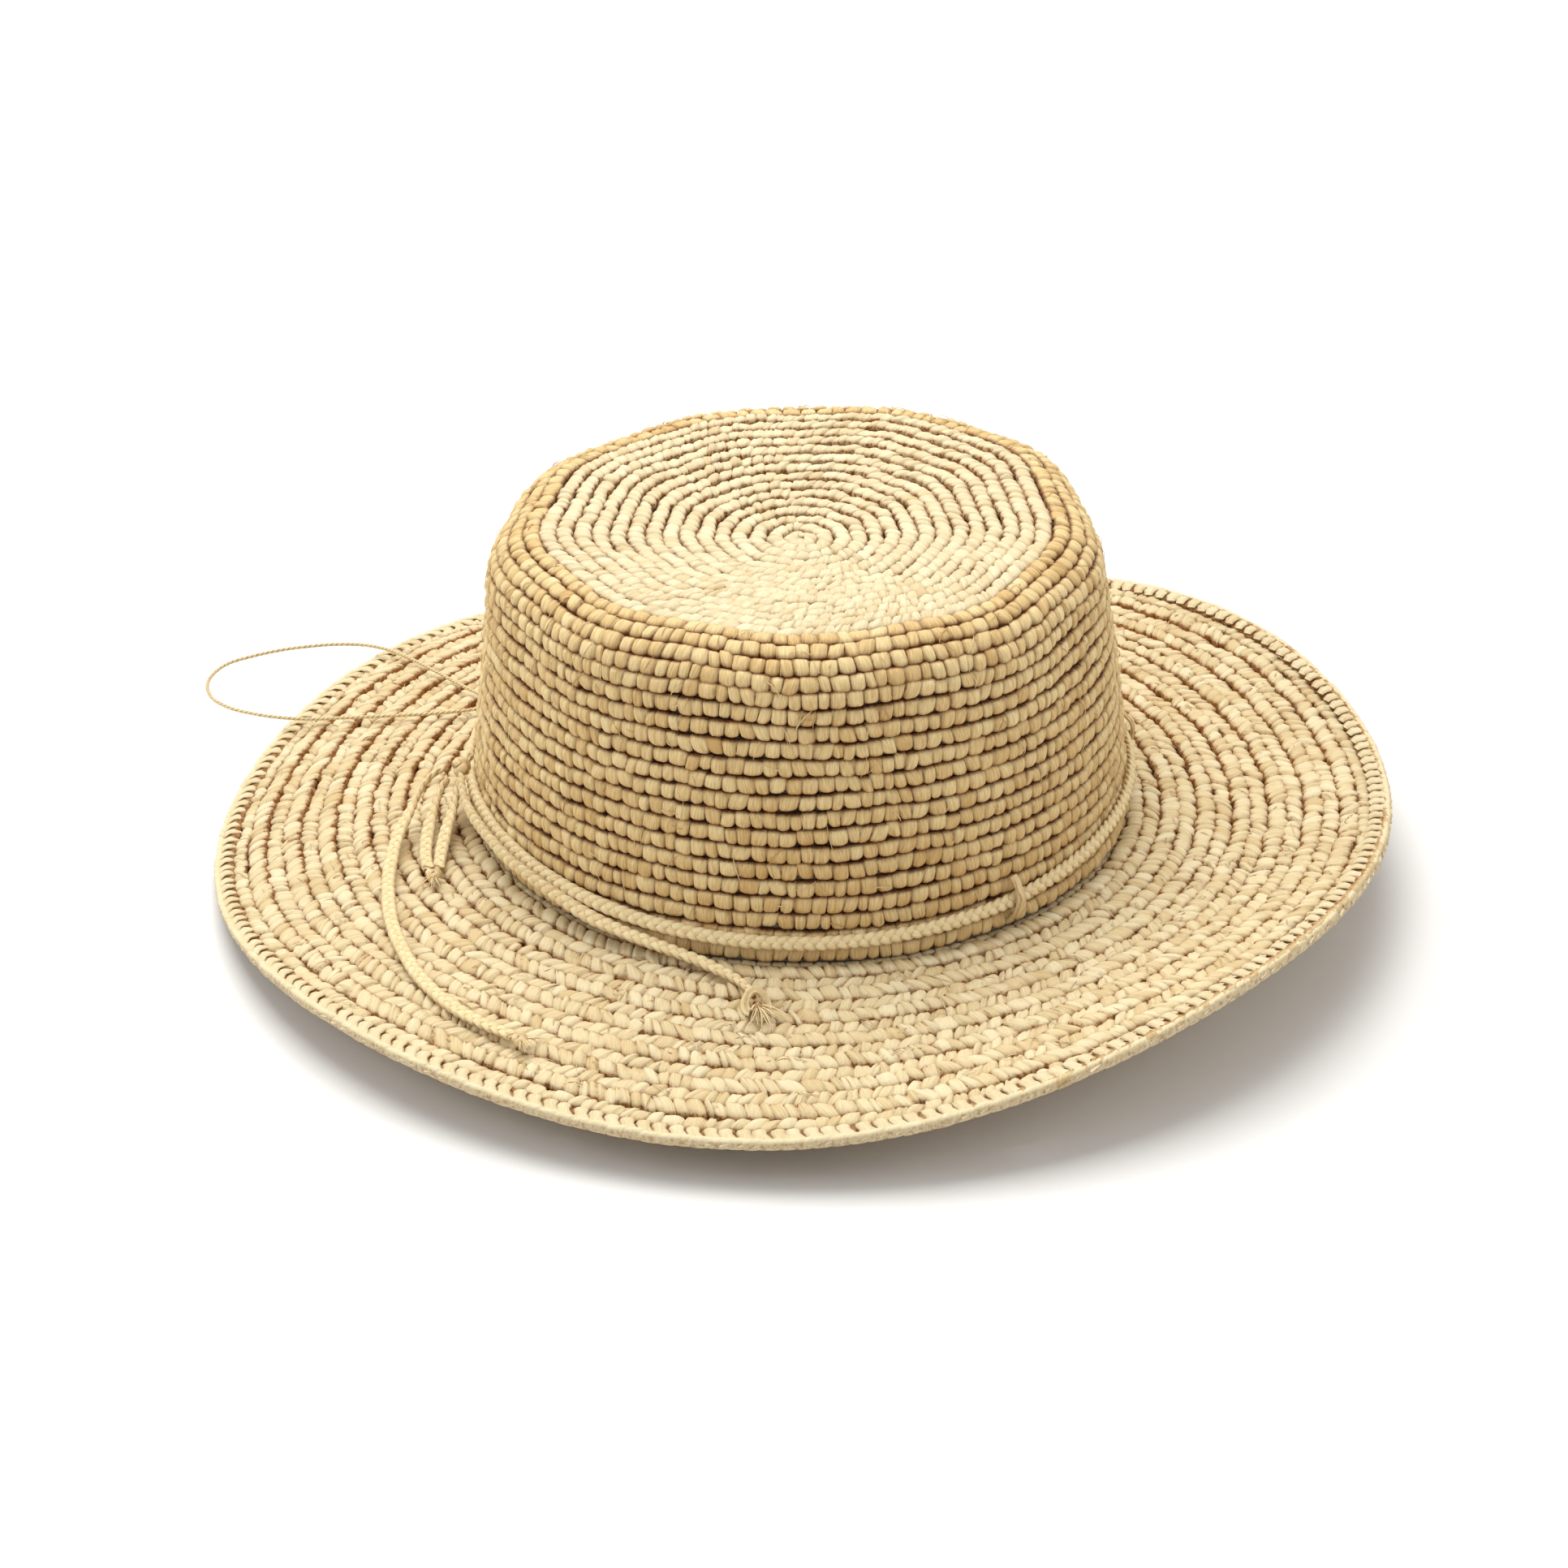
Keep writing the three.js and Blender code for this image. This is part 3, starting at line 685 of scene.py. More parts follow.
def worked_round(spot, count, rng, height=ROUND_HEIGHT, crest=WALL_CREST, dip=WALL_DIP, back=0.0013, lean=0.0,
                 uneven=1.0, ridge=0.0, raised=0.0, corners=(0.5, 0.06), gaps=(1, 1), joined=0.0, sharp=1.2,
                 shade=0.25, overlap=1.05, back_roundness=BACK_ROUNDNESS, light=0.5, start=math.pi / 2,
                 across=ACROSS_STITCH):
    """One round of stitches as a beaded ring. spot(azimuths) gives the fabric's middle there, the
    outer direction and the direction towards the next round. crest, dip and back are the heights of
    a stitch, of the gap beside it and of its back. lean slants the stitches, and ridge lifts their
    edge at the next round. corners says how rounded they are, and gaps how strong the painted shade in
    the gaps is, at the last round and at the next. joined closes the gaps between their heads, a high
    sharp keeps the painted shade to the deepest corners, and shade paints shade on each stitch's foot."""
    widths = 1 + 0.13 * uneven * rng.standard_normal(count).clip(-2, 2)
    edges = start + 2 * math.pi * np.concatenate([[0], np.cumsum(widths)]) / widths.sum()
    mids, halves = (edges[1:] + edges[:-1]) / 2, (edges[1:] - edges[:-1]) / 2
    azimuth = (mids[:, None] + halves[:, None] * across).reshape(-1)
    x = np.tile(across, count)
    inner = x > -1

    def each(values, at_edges=None):
        """A value of each stitch at its own columns, and the mean of two stitches between them."""
        columns = np.repeat(values, len(across)).reshape(count, -1)
        columns[:, 0] = (values + np.roll(values, 1)) / 2 if at_edges is None else at_edges
        return columns.reshape(-1)

    def vary(size):
        return size * rng.standard_normal(count).clip(-2, 2)

    out = flattened(np.sin(AROUND_STITCH), ROUNDNESS)
    behind = out < -0.5
    up = flattened(np.cos(AROUND_STITCH), np.where(behind, back_roundness, ROUNDNESS))
    slant = each(lean + vary(0.12 * uneven))[:, None]
    plump = ((1 - np.abs(x) ** PLUMPNESS) ** (1 / PLUMPNESS))[:, None]
    crests = each(crest * (1 + vary(0.07 * uneven)))[:, None]
    dips = each(dip * (1 + vary(0.12)))[:, None]
    dips = dips + (crests - dips) * joined * np.clip(up, 0, 1)
    folds = (rng.normal(0, FOLD_SIZE * uneven, len(x)) * inner)[:, None]
    tilt = (each(vary(0.06 * uneven), 0) * x)[:, None]
    outer = (dips + (crests - dips) * plump) * (1 + tilt) + folds
    foot, head = (each(share * (1 + vary(0.3))).clip(0, 0.7)[:, None] for share in corners)
    tall = each(1 + vary(0.035 * uneven))[:, None]
    rounding = np.where(behind, 0, np.where(up < 0, foot, head)) * (1 - plump)
    half_height = height / 2 * overlap * tall * (1 - rounding)

    middles, outwards, onwards = spot(azimuth)
    sideways = np.cross(onwards, outwards)
    v = half_height * up + each(rng.normal(0, STITCH_SHIFT * uneven, count))[:, None]
    w = np.where(out > 0, outer * (1 + 0.05 * up), back * (0.75 + 0.25 * plump)) * out
    lifted = w + np.where(behind, 0, raised + ridge * up)
    rings = (middles[:, None] + outwards[:, None] * lifted[..., None] + onwards[:, None] * v[..., None]
             + sideways[:, None] * (slant * v)[..., None])
    # Painted shade: darker the deeper a point lies below its stitch's crest, and on the back towards the
    # round's edges. The columns between stitches take a random share of it.
    deep = np.where(behind, BACK_DARKNESS * np.abs(up), (DARK_BELOW_CREST - w / crests) / DARKENING)
    holes = each(1 + vary(0.3), rng.uniform(0.3, 1.1, count))[:, None]
    groove = np.clip(deep, 0, 1) ** sharp * np.where(inner[:, None], 1, holes) * np.where(up < 0, *gaps)
    radius = np.linalg.norm(middles[:, :2], axis=1).mean()
    thread = np.zeros(rings.shape)
    thread[..., 0] = ((azimuth - start) * radius * 1000)[:, None]
    thread[..., 1] = AROUND_STITCH * height * 500
    thread[..., 2] = rng.uniform(0, 90)
    tones = light + vary(0.11 * uneven)
    tones[rng.random(count) < STAINED_SHARE] -= 0.6
    # The tone, with painted shade towards each stitch's foot, where light from above falls less.
    return {"rings": rings, "closed": True, "thread": thread, "groove": groove,
            "tone": each(tones)[:, None] - shade * np.clip(-up, 0, 1) ** 2}


def compass(azimuth):
    """Outwards, for each azimuth."""
    return np.stack([np.cos(azimuth), np.sin(azimuth), np.zeros(len(azimuth))], axis=1)


def bulge(azimuth, degrees, sharpness):
    """1 at that azimuth, falling away to nothing on the far side of the hat."""
    return (0.5 + 0.5 * np.cos(azimuth - math.radians(degrees))) ** sharpness


def rim_lift(azimuth):
    """The crown's top edge was pressed by hand: it has settled, least at its front and right."""
    return -0.003 + 0.005 * bulge(azimuth, 28, 6) + 0.0032 * bulge(azimuth, 270, 2)


def rim_squeeze(azimuth):
    """How far the crown's top edge is pushed in, with the blunt corners that increases give."""
    return 0.0029 * bulge(azimuth, 6, 5) + 0.0005 + 0.001 * np.sin(9 * azimuth)


def drift(azimuth, distance, size):
    """How far handwork strays: rounds near each other stray together."""
    return size * sum(np.sin(turns * azimuth + distance * climb + turns) / math.sqrt(turns)
                      for turns, climb in ((2, 35), (5, 70), (9, 120), (14, 170)))


wall_top = CROWN_TOP - SHOULDER_RADIUS
wall_length = math.hypot(CROWN_BASE_RADIUS - CROWN_TOP_RADIUS, wall_top - CROWN_FOOT)
side_length = wall_length + SHOULDER_RADIUS * math.pi / 2
side_rounds = round(side_length / ROUND_HEIGHT)
side_height = side_length / side_rounds
crown_rng = np.random.default_rng(5)


def crown_side_spot(distance):
    """The wall's middle surface at that distance up from its foot, round the shoulder to the tip."""
    def spot(azimuth):
        free = math.sin(math.pi * distance / side_length)
        stray = drift(azimuth, distance, 0.00055) * (0.4 + 0.6 * free)
        up = distance + stray - 0.0007 * np.cos(azimuth) * free
        share = np.clip(up / wall_length, 0, 1)
        bend = np.clip((up - wall_length) / SHOULDER_RADIUS, 0, None)
        radius = CROWN_BASE_RADIUS + (CROWN_TOP_RADIUS - CROWN_BASE_RADIUS) * share
        radius = radius - SHOULDER_RADIUS * (1 - np.cos(bend))
        height = CROWN_FOOT + (wall_top - CROWN_FOOT) * share + SHOULDER_RADIUS * np.sin(bend)
        lean = math.atan2(CROWN_BASE_RADIUS - CROWN_TOP_RADIUS, wall_top - CROWN_FOOT)
        angle = np.maximum(bend, lean)
        along = compass(azimuth)
        outwards = along * np.cos(angle)[:, None] + UP * np.sin(angle)[:, None]
        onwards = UP * np.cos(angle)[:, None] - along * np.sin(angle)[:, None]
        pressed, lifted = (np.clip((height - PRESSED_ABOVE) / (top - PRESSED_ABOVE), 0, 1) ** 1.5
                           for top in (CROWN_TOP - SHOULDER_RADIUS, CROWN_TOP))
        radius = radius - rim_squeeze(azimuth) * pressed
        height = height + rim_lift(azimuth) * lifted
        middles = along * radius[:, None] + UP * height[:, None] - outwards * STITCH_MIDDLE_DEPTH
        return middles, outwards, onwards
    return spot


def stitches_round(radius):
    return max(6, round(2 * math.pi * radius / STITCH_WIDTH))


# Pale, straw, and the gap colour painted as shade, for the wall and for the tip.
WALL_COLOURS = ((0.86, 0.69, 0.37), (0.61, 0.39, 0.15), (0.16, 0.048, 0.01))
TIP_COLOURS = ((0.82, 0.725, 0.49), (0.67, 0.52, 0.29), (0.26, 0.10, 0.02))
crown_wall_raffia = raffia_material("crown_wall_raffia", WALL_COLOURS, 2.6, gap_strength=0.95, speckle=0.3)
crown_tip_raffia = raffia_material("crown_tip_raffia", TIP_COLOURS, 3.0, gap_strength=0.75, speckle=1.0)

side_count = stitches_round(CROWN_BASE_RADIUS - 0.003)
side_tubes = []
for i in range(side_rounds):
    distance = (i + 0.5) * side_height
    fewer = round(12 * max(0, distance - wall_length) / SHOULDER_RADIUS)
    turned = np.clip((distance - 0.85 * wall_length) / SHOULDER_RADIUS, 0, 1)
    side_tubes.append(worked_round(
        crown_side_spot(distance), side_count - 2 * fewer, crown_rng, side_height,
        dip=WALL_DIP + (SHOULDER_DIP - WALL_DIP) * turned, corners=(0.5, 0.1), joined=0.5, shade=0.35,
        overlap=1.04, light=0.53, uneven=1.4, start=math.pi / 2 + 0.004 * i))


def crochet_pieces(names, tubes, material, cad_node):
    """The rounds shared out in order between the named pieces."""
    share = math.ceil(len(tubes) / len(names))
    for i, name in enumerate(names):
        hat_piece(name, tubes[i * share:(i + 1) * share], material, "hat", "raffia_crochet", cad_node)


crochet_pieces(("crown_wall_lower_rounds", "crown_wall_upper_rounds", "crown_shoulder_rounds"),
               side_tubes, crown_wall_raffia, "crown_side")

tip_rounds = round(TIP_RADIUS / ROUND_HEIGHT)
tip_height = (TIP_RADIUS + TIP_TUCK) / tip_rounds


def tip_spot(distance):
    """The tip's middle surface at that distance from its centre. The next round lies nearer the centre."""
    def spot(azimuth):
        share = distance / TIP_RADIUS
        radius = distance + (drift(azimuth, distance, 0.0005) - rim_squeeze(azimuth)) * share
        slope = 4 * TIP_SINK * share * (1 - share**2) / TIP_RADIUS
        dish = CROWN_TOP - TIP_SETTLED - TIP_SINK * (1 - share**2) ** 2
        dish = dish + (rim_lift(azimuth) + TIP_SETTLED) * share**2
        along = compass(azimuth)
        outwards = unit(UP - along * slope)
        onwards = unit(-along - UP * slope)
        middles = along * radius[:, None] + UP * dish[:, None] - outwards * STITCH_MIDDLE_DEPTH
        return middles, outwards, onwards
    return spot


def loose_fibres(spots, rng, turned_over=0.5):
    """Fine ends of raffia that lie over the stitches, from one gap to another. turned_over is the share
    that lies along the round instead of across it."""
    tubes = []
    for spot in (spots[i] for i in rng.integers(0, len(spots), LOOSE_FIBRES)):
        middles, outwards, onwards = (rows[0] for rows in spot(np.array([rng.uniform(0, 2 * math.pi)])))
        heading = onwards * rng.normal(1, 0.2) + np.cross(onwards, outwards) * rng.normal(0, 0.35)
        if rng.random() < turned_over:
            heading = np.cross(heading, outwards)
        share = np.linspace(0, 1, 7)[:, None]
        lift = 0.0016 + rng.uniform(0.0006, 0.0013) * np.sin(math.pi * share)
        bend = np.cross(heading, outwards) * rng.normal(0, 0.3)
        length = rng.uniform(0.003, 0.006)
        centre = middles + outwards * lift + (heading * (share - 0.5) + bend * share**2) * length
        tubes.append(strand(centre, np.tile(outwards, (7, 1)), rng.uniform(0.0002, 0.00045), 0.00016,
                            rng.uniform(0, 90), rng.choice((-0.3, 0.9, 1.1)), around=5,
                            swell=0.4 + 0.6 * np.sin(math.pi * share[:, 0])))
    return tubes


crown_spots = [crown_side_spot((i + 0.5) * side_height) for i in range(2, side_rounds)]
crochet_pieces(["crown_loose_fibres"], loose_fibres(crown_spots, crown_rng, 0.25), crown_wall_raffia,
               "crown_side")

tip_tubes = []
for i in range(tip_rounds):
    distance = (i + 0.5) * tip_height
    # Painted shade in the tip's gaps, weaker near its centre.
    tip_gap_shade = min(1, 0.3 + distance / 0.02)
    tip_tubes.append(worked_round(
        tip_spot(distance), stitches_round(distance * 1.2), crown_rng, tip_height, crest=TIP_CREST,
        dip=TIP_DIP, lean=0.35, ridge=0.0002, corners=(0.2, 0.4), gaps=(0.8 * tip_gap_shade, tip_gap_shade),
        sharp=1.4, shade=0, uneven=1.6, light=0.6, start=math.pi / 2 + 0.3 * i))
crochet_pieces(["crown_tip_rounds"], tip_tubes, crown_tip_raffia, "crown_tip")

# ---- The brim ----
# Worked outwards from the crown's foot in pairs of rounds whose stitches slant against each other,
# with a groove between one pair and the next, browned by painted shade. The brim rolls in three long waves.

BRIM_RADIUS = (cad_high.y - cad_low.y) / 2
JOIN_HEIGHT = 0.021
BRIM_DROP = 0.0053
BRIM_WAVES = (
    (1, 0.0123, math.radians(-26.5)), (2, 0.0034, math.radians(-3)), (4, 0.0041, math.radians(44.5)))
EDGING_WIDTH = 0.005
EDGING_DEPTH = 0.0044
LEG_WIDTH = 0.0038
LEG_SLANT = 0.42
LEG_CREST = 0.00195
LEG_DIP = 0.00125
RIDGE = 0.00035
BRIM_STRAY = 0.0004
LAST_STRAY = 0.0001
# Pale, straw, and the gap colour painted as shade.
BRIM_COLOURS = ((0.82, 0.71, 0.46), (0.65, 0.49, 0.25), (0.26, 0.095, 0.016))
brim_rng = np.random.default_rng(21)


def wave_height(azimuth):
    return sum(height * np.cos(turns * (azimuth - peak)) for turns, height, peak in BRIM_WAVES)


LOWEST_WAVE = wave_height(np.linspace(0, 2 * math.pi, 3600)).min()


def edging_height(azimuth):
    return EDGING_DEPTH / 2 + wave_height(azimuth) - LOWEST_WAVE


def brim_top(radius, azimuth):
    share = np.maximum(0, (radius - CROWN_BASE_RADIUS) / (BRIM_RADIUS - CROWN_BASE_RADIUS))
    rise = edging_height(azimuth) + THICKNESS / 2 - JOIN_HEIGHT
    return JOIN_HEIGHT - BRIM_DROP * share * (1 - share) + rise * share**2


def brim_spot(distance, stray=0.0):
    """The brim's middle surface at that distance from the hat's axis. The next round lies further out."""
    def spot(azimuth):
        step = 0.0005
        radius = distance + drift(azimuth, distance, stray)
        along, around = compass(azimuth), np.cross(UP, compass(azimuth))
        slope_out = (brim_top(radius + step, azimuth) - brim_top(radius - step, azimuth)) / (2 * step)
        turn = step / distance
        slope_round = (brim_top(radius, azimuth + turn) - brim_top(radius, azimuth - turn)) / (2 * step)
        onwards = unit(along + UP * slope_out[:, None])
        outwards = unit(np.cross(onwards, unit(around + UP * slope_round[:, None])))
        top = along * radius[:, None] + UP * brim_top(radius, azimuth)[:, None]
        return top - outwards * STITCH_MIDDLE_DEPTH, outwards, onwards
    return spot


brim_outer = BRIM_RADIUS - EDGING_WIDTH
brim_rounds = 2 * round((brim_outer - CROWN_BASE_RADIUS) / ROUND_HEIGHT / 2)
brim_height = (brim_outer - CROWN_BASE_RADIUS) / brim_rounds
join_middle = CROWN_BASE_RADIUS - THICKNESS / 2
brim_tubes = [worked_round(brim_spot(join_middle), stitches_round(join_middle), brim_rng, THICKNESS,
                           crest=0.0016, back=0.0016, light=0.45)]
for i in range(brim_rounds):
    distance = CROWN_BASE_RADIUS + (i + 0.5) * brim_height
    way = 1 if i % 2 else -1
    last = i == brim_rounds - 1
    brim_tubes.append(worked_round(
        brim_spot(distance, LAST_STRAY if last else BRIM_STRAY),
        round(2 * math.pi * distance / LEG_WIDTH), brim_rng, brim_height,
        crest=LEG_CREST, dip=LEG_DIP, lean=LEG_SLANT * way, ridge=-RIDGE, raised=-RIDGE * way,
        corners=(0.42, 0.42), gaps=(0.8, 1) if way > 0 else (1, 0.8), sharp=1.2, shade=0,
        overlap=1 if last else 1.16 + 0.01 * i, light=0.57, uneven=2.0,
        start=1.6 + 0.02 * i, across=ACROSS_LEG))
brim_spots = [brim_spot(CROWN_BASE_RADIUS + (i + 0.5) * brim_height) for i in range(1, brim_rounds)]
brim_raffia = raffia_material("brim_raffia", BRIM_COLOURS, 3.0, gap_strength=0.95, speckle=1.0)
crochet_pieces(("brim_inner_rounds", "brim_middle_rounds", "brim_outer_rounds", "brim_last_rounds"),
               brim_tubes, brim_raffia, "brim")
crochet_pieces(["brim_loose_fibres"], loose_fibres(brim_spots, brim_rng), brim_raffia, "brim")

# ---- The brim's edge ----
# The last round is worked over a nylon line and turned down. A rope of stitches closes it, held by
# short slanted bars, and a small hole shows between each bar and the next, dark with painted shade on the
# core below.

EDGE_STITCH = 0.0044
EDGE_MIDDLE = BRIM_RADIUS - EDGING_WIDTH / 2
CORE_RADIUS = EDGE_MIDDLE - 0.0009
CORE_WIDTH = 0.0056
CORE_DARKNESS = 0.8
ROPE_RADIUS = BRIM_RADIUS - 0.0012
ROPE_WIDTH = 0.0023
ROPE_LOWERED = 0.0002
BAR_START = BRIM_RADIUS - 0.0062
BAR_END = BRIM_RADIUS - 0.0004
BAR_WIDTH = 0.0056
BAR_THICKNESS = 0.0012
BAR_LIFT = 0.0016


def edge_spot(radius, lowered=0.0):
    """A place on the rolled edge: the edging's middle height, with the brim's own directions."""
    def spot(azimuth):
        _, outwards, onwards = brim_spot(EDGE_MIDDLE)(azimuth)
        middles = compass(azimuth) * radius + UP * (edging_height(azimuth) - lowered)[:, None]
        return middles, outwards, onwards
    return spot


link_count = round(2 * math.pi * EDGE_MIDDLE / EDGE_STITCH)
# The core under the bars has a dark tone and painted shade over its inner half, for the shade in the holes
# between the bars.
core = worked_round(edge_spot(CORE_RADIUS), link_count, brim_rng, CORE_WIDTH, crest=0.0011, dip=0.0009,
                    back=0.0017, back_roundness=ROUNDNESS, light=0.1)
core_darkness = CORE_DARKNESS * np.clip(1.5 - 2 * np.cos(AROUND_STITCH), 0.15, 1)
core["groove"] = np.broadcast_to(core_darkness, core["rings"].shape[:2])
rope = worked_round(edge_spot(ROPE_RADIUS, ROPE_LOWERED), link_count, brim_rng, ROPE_WIDTH, crest=0.0017,
                    dip=0.0014, back=0.0019, lean=0.9, uneven=0.8, back_roundness=ROUNDNESS, light=0.9)
# The rope keeps a third of its painted shade.
rope["groove"] = rope["groove"] * 0.35
edge_tubes = [core, rope]
link_turn = 2 * math.pi / link_count
bar_share = np.linspace(0, 1, 11)
pinch = 0.36 * np.exp(-((bar_share - 0.58) / 0.15) ** 2)
for k in range(link_count):
    uneven = brim_rng.normal(0, 0.05, 2)
    azimuth = link_turn * (k + uneven[0] + 0.45 * (bar_share - 0.5))
    middles, outwards, onwards = edge_spot(0)(azimuth)
    reach = BAR_START + (BAR_END - BAR_START) * bar_share
    lift = BAR_LIFT * np.sin(math.pi * (0.17 + 0.83 * bar_share)) - ROPE_LOWERED
    centre = middles + compass(azimuth) * reach[:, None] + outwards * lift[:, None]
    bar = strand(centre, outwards + compass(azimuth) * bar_share[:, None] ** 2, BAR_WIDTH, BAR_THICKNESS,
                 brim_rng.uniform(0, 90), 0.7 + 0.12 * brim_rng.standard_normal(), around=8,
                 swell=np.clip(0.5 + 0.75 * bar_share, 0, 0.95) * (1 - pinch) * (1 + uneven[1]))
    # Painted shade at the bars' edges, fading out towards the rope.
    bar["groove"] = bar["groove"] * 0.7 * (1 - bar_share)[:, None]
    edge_tubes.append(bar)
crochet_pieces(["brim_edge_chain"], edge_tubes, brim_raffia, "brim_edging")

nylon_line = grained_material(
    "nylon_line", (0.8, 0.79, 0.74), 0.3, specular=0.5, grain=400, strength=0.15, distance=0.0001)
shaping_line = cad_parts["brim_shaping_line"]
shaping_line.data.materials.clear()
shaping_line.data.materials.append(nylon_line)

# ---- The sweatband ----
# A cotton tape, plain woven, sewn inside the head opening with a running stitch along its lower edge.

TAPE_HEIGHT = 0.032
TAPE_THICKNESS = 0.0012
SEWN_GAP = 0.00035
TAPE_STEPS = 300
TAPE_STITCHES = 108
SEAM_HEIGHT = 0.003
PUCKER = 0.00025
ROLL = 0.0004
tape_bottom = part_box("sweatband")[0].z


def crown_radius(height):
    share = np.clip((height - CROWN_FOOT) / (wall_top - CROWN_FOOT), 0, 1)
    return CROWN_BASE_RADIUS + (CROWN_TOP_RADIUS - CROWN_BASE_RADIUS) * share


def cotton_material():
    """Plain-woven cotton: warp and weft cross under and over, with slubs and slight fading."""
    material, tree, surface = plain_material("woven_cotton_tape", (0.78, 0.7, 0.55), 0.85, 0.25, sheen=0.25)
    thread = node(tree, "ShaderNodeAttribute", attribute_name="thread").outputs["Vector"]
    weave = node(tree, "ShaderNodeTexChecker")
    weave.inputs["Scale"].default_value = 2.4
    weave.inputs["Color1"].default_value = (0.80, 0.72, 0.57, 1)
    weave.inputs["Color2"].default_value = (0.72, 0.63, 0.48, 1)
    slubs = noise(tree, 0.7, 4)
    sockets = colour_mix(tree, blend_type="MULTIPLY")
    sockets["Factor_Float"].default_value = 0.35
    for first, second in ((thread, weave.inputs["Vector"]), (thread, slubs.inputs["Vector"]),
                          (weave.outputs["Color"], sockets["A_Color"]),
                          (slubs.outputs["Color"], sockets["B_Color"]),
                          (sockets["Result_Color"], surface.inputs["Base Color"])):
        tree.links.new(first, second)
    add_bump(tree, surface, weave.outputs["Fac"], 0.5, 0.0002)
    return material


tape_azimuth = np.linspace(0, 2 * math.pi, TAPE_STEPS, endpoint=False)
tape_half = TAPE_THICKNESS / 2
tape_section = []
for edge_height, first_angle, rise in ((TAPE_HEIGHT - tape_half, 0, -1), (tape_half, 180, 1)):
    for angle in np.radians(first_angle + np.arange(0, 181, 45)):
        tape_section.append((tape_half * np.cos(angle), edge_height + tape_half * np.sin(angle)))
    for step in (1, 2, 3, 4):
        tape_section.append((rise * tape_half, TAPE_HEIGHT * (0.5 + rise * (0.2 * step - 0.5))))
tape_rings = np.zeros((TAPE_STEPS, len(tape_section), 3))
tape_thread = np.zeros(tape_rings.shape)
for j, (out, height) in enumerate(tape_section):
    near_seam = math.exp(-((height - SEAM_HEIGHT) / 0.004) ** 2)
    pucker = PUCKER * np.sin(TAPE_STITCHES * tape_azimuth) * near_seam
    roll = -ROLL * (height / TAPE_HEIGHT) ** 2 * (1 + np.sin(5 * tape_azimuth + 1) * 0.6)
    middle_radius = crown_radius(tape_bottom + height) - THICKNESS - SEWN_GAP - tape_half
    radius = middle_radius + out + np.minimum(pucker, 0) + roll
    tape_rings[:, j] = compass(tape_azimuth) * radius[:, None] + UP * (tape_bottom + height)
    tape_thread[:, j, 0] = tape_azimuth * CROWN_BASE_RADIUS * 1000
    tape_thread[:, j, 1] = height * 1000
no_shade = np.zeros(tape_rings.shape[:2])
tape_tube = {"rings": tape_rings, "closed": True, "thread": tape_thread, "groove": no_shade, "tone": no_shade}
tape = hat_piece("sweatband_tape", [tape_tube], cotton_material(), "hat", "cotton_tape", "sweatband")

stitch_tubes = []
for k in range(TAPE_STITCHES):
    azimuth = 2 * math.pi * (k + np.linspace(0.12, 0.72, 8)) / TAPE_STITCHES
    radius = crown_radius(tape_bottom) - THICKNESS - SEWN_GAP - TAPE_THICKNESS
    bow = 0.0003 - 0.0009 * np.sin(math.pi * np.linspace(0, 1, 8))
    centre = compass(azimuth) * (radius + bow)[:, None] + UP * (tape_bottom + SEAM_HEIGHT)
    stitch_tubes.append(strand(centre, -compass(azimuth), 0.0007, 0.0006, k, 0.8, around=7))
tape_stitches = hat_piece(
    "sweatband_stitches", stitch_tubes, plaited_raffia, "hat", "cotton_tape", "sweatband")

# ---- The hat band and its keepers ----
# One flat plait round the foot of the crown. Four small bars of raffia, sewn to the crown above and
# below it, hold it, and it can slide round under them.

BAND_MIDDLE = sum(corner.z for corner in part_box("band_cord")) / 2
BAND_WAVE = 0.0028
BAND_STAND_OFF = 0.0016
BAND_TILT = math.radians(24)
KNOT_AZIMUTH = math.radians(185.5)
KNOT_HALF_TURN = 0.049
KEEPER_AZIMUTHS = [math.radians(degrees) for degrees in (308, 8, 68, 128)]
band_rng = np.random.default_rng(8)


def band_place(azimuth, stand_off):
    height = BAND_MIDDLE + BAND_WAVE * np.cos(2 * azimuth)
    return compass(azimuth) * (crown_radius(height) + stand_off)[:, None] + UP * height[:, None]


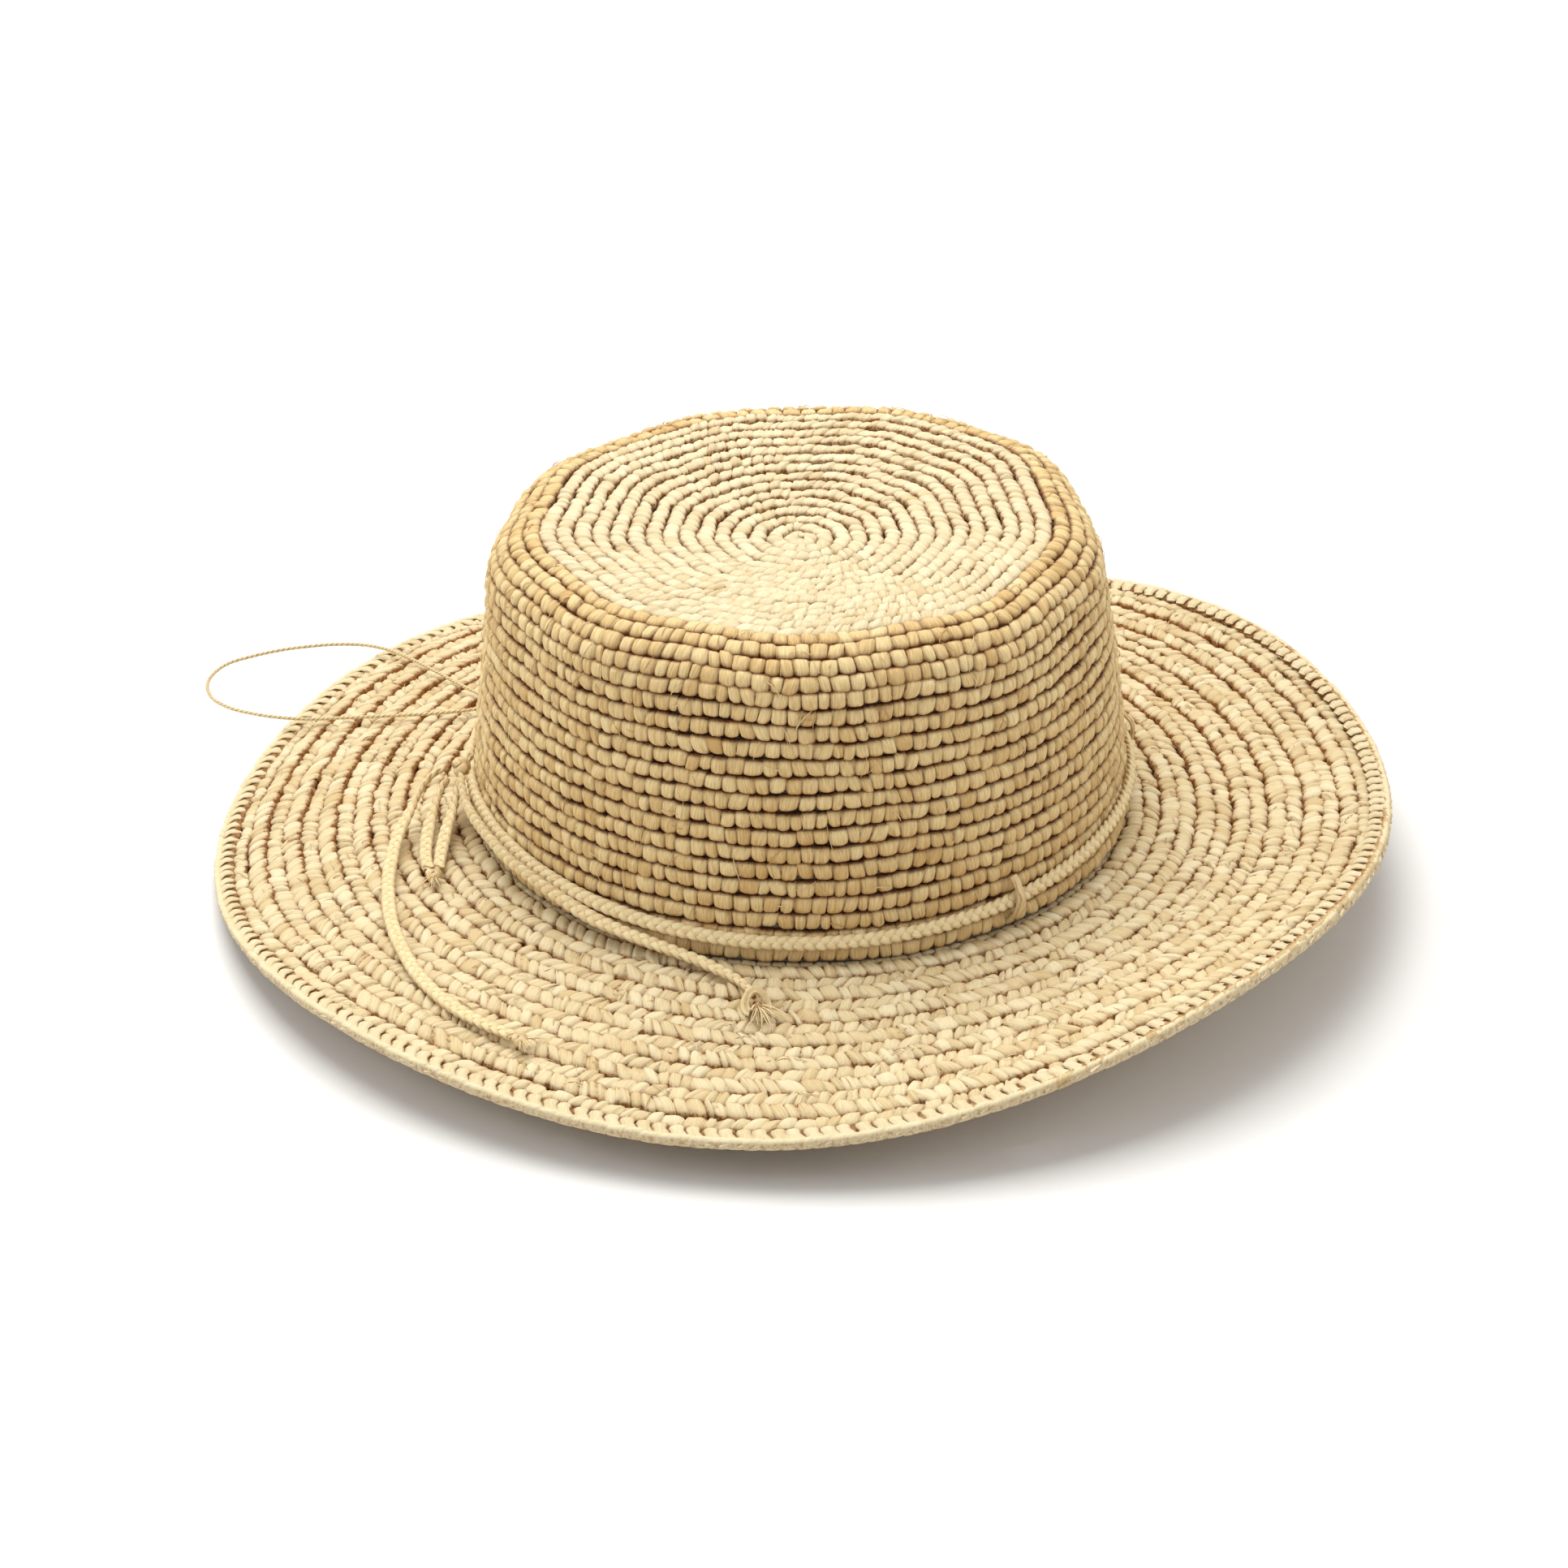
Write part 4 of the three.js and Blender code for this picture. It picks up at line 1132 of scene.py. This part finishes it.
band_azimuth = KNOT_AZIMUTH + np.linspace(KNOT_HALF_TURN, 2 * math.pi - KNOT_HALF_TURN, 1300)
band_path = band_place(band_azimuth, BAND_STAND_OFF)
band_facing = compass(band_azimuth) * math.cos(BAND_TILT) + UP * math.sin(BAND_TILT)
cord_piece("band_plait", plait(band_path, band_facing, PLAIT_WIDTH, PLAIT_THICKNESS, PLAIT_TURN, band_rng),
           "hat_band", "band_cord")

KEEPER_ROUTE = ((0.0066, 0.0001), (0.0052, 0.0011), (0.0034, 0.0026), (0.0012, 0.0034),
                (-0.0012, 0.0034), (-0.0034, 0.0027), (-0.0053, 0.0013), (-0.0068, 0.0002))
KEEPER_STRANDS = ((-0.0006, 0.0024, 0), (0.0007, 0.0022, 0.0002), (0.0001, 0.0016, 0.0005))
KEEPER_THICKNESS = 0.0009
KEEPER_REACH = 0.0066
KEEPER_WANDER = 0.0002
for k, azimuth in enumerate(KEEPER_AZIMUTHS):
    tubes = []
    for aside, width, slack in KEEPER_STRANDS:
        turn = np.array([azimuth + aside / CROWN_BASE_RADIUS])
        foot = band_place(turn, 0.0003)[0]
        out, along = compass(turn)[0], np.cross(UP, compass(turn)[0])
        route = []
        for up, stand in KEEPER_ROUTE:
            sideways = band_rng.normal(0, KEEPER_WANDER) - 0.6 * aside * up / KEEPER_REACH
            route.append(foot + UP * up + out * (stand + slack * (stand > 0.001)) + along * sideways)
        centre = smooth_route(route, 0.0004)
        tubes.append(strand(centre, np.tile(out, (len(centre), 1)), width, KEEPER_THICKNESS,
                            band_rng.uniform(0, 90), band_rng.uniform(0.2, 0.6),
                            swell=0.75 + 0.4 * np.linspace(0, 1, len(centre))))
    cord_piece(f"keeper_bar_{k + 1}", tubes, "hat", f"band_keeper_{k + 1}")

# ---- The bow knot ----
# Where both ends of the band are tied together: two turns pulled tight, with the tails coming out below.

BOW_KNOT_SIZE = (0.0072, 0.0088, 0.008)
BOW_KNOT_STRAND = 0.0026
cord_piece("bow_knot_wraps",
           knot_tubes(middle("bow_knot"), BOW_KNOT_SIZE, BOW_KNOT_STRAND, band_rng, wraps=3, tilt=0.3),
           "hat_band", "bow_knot")
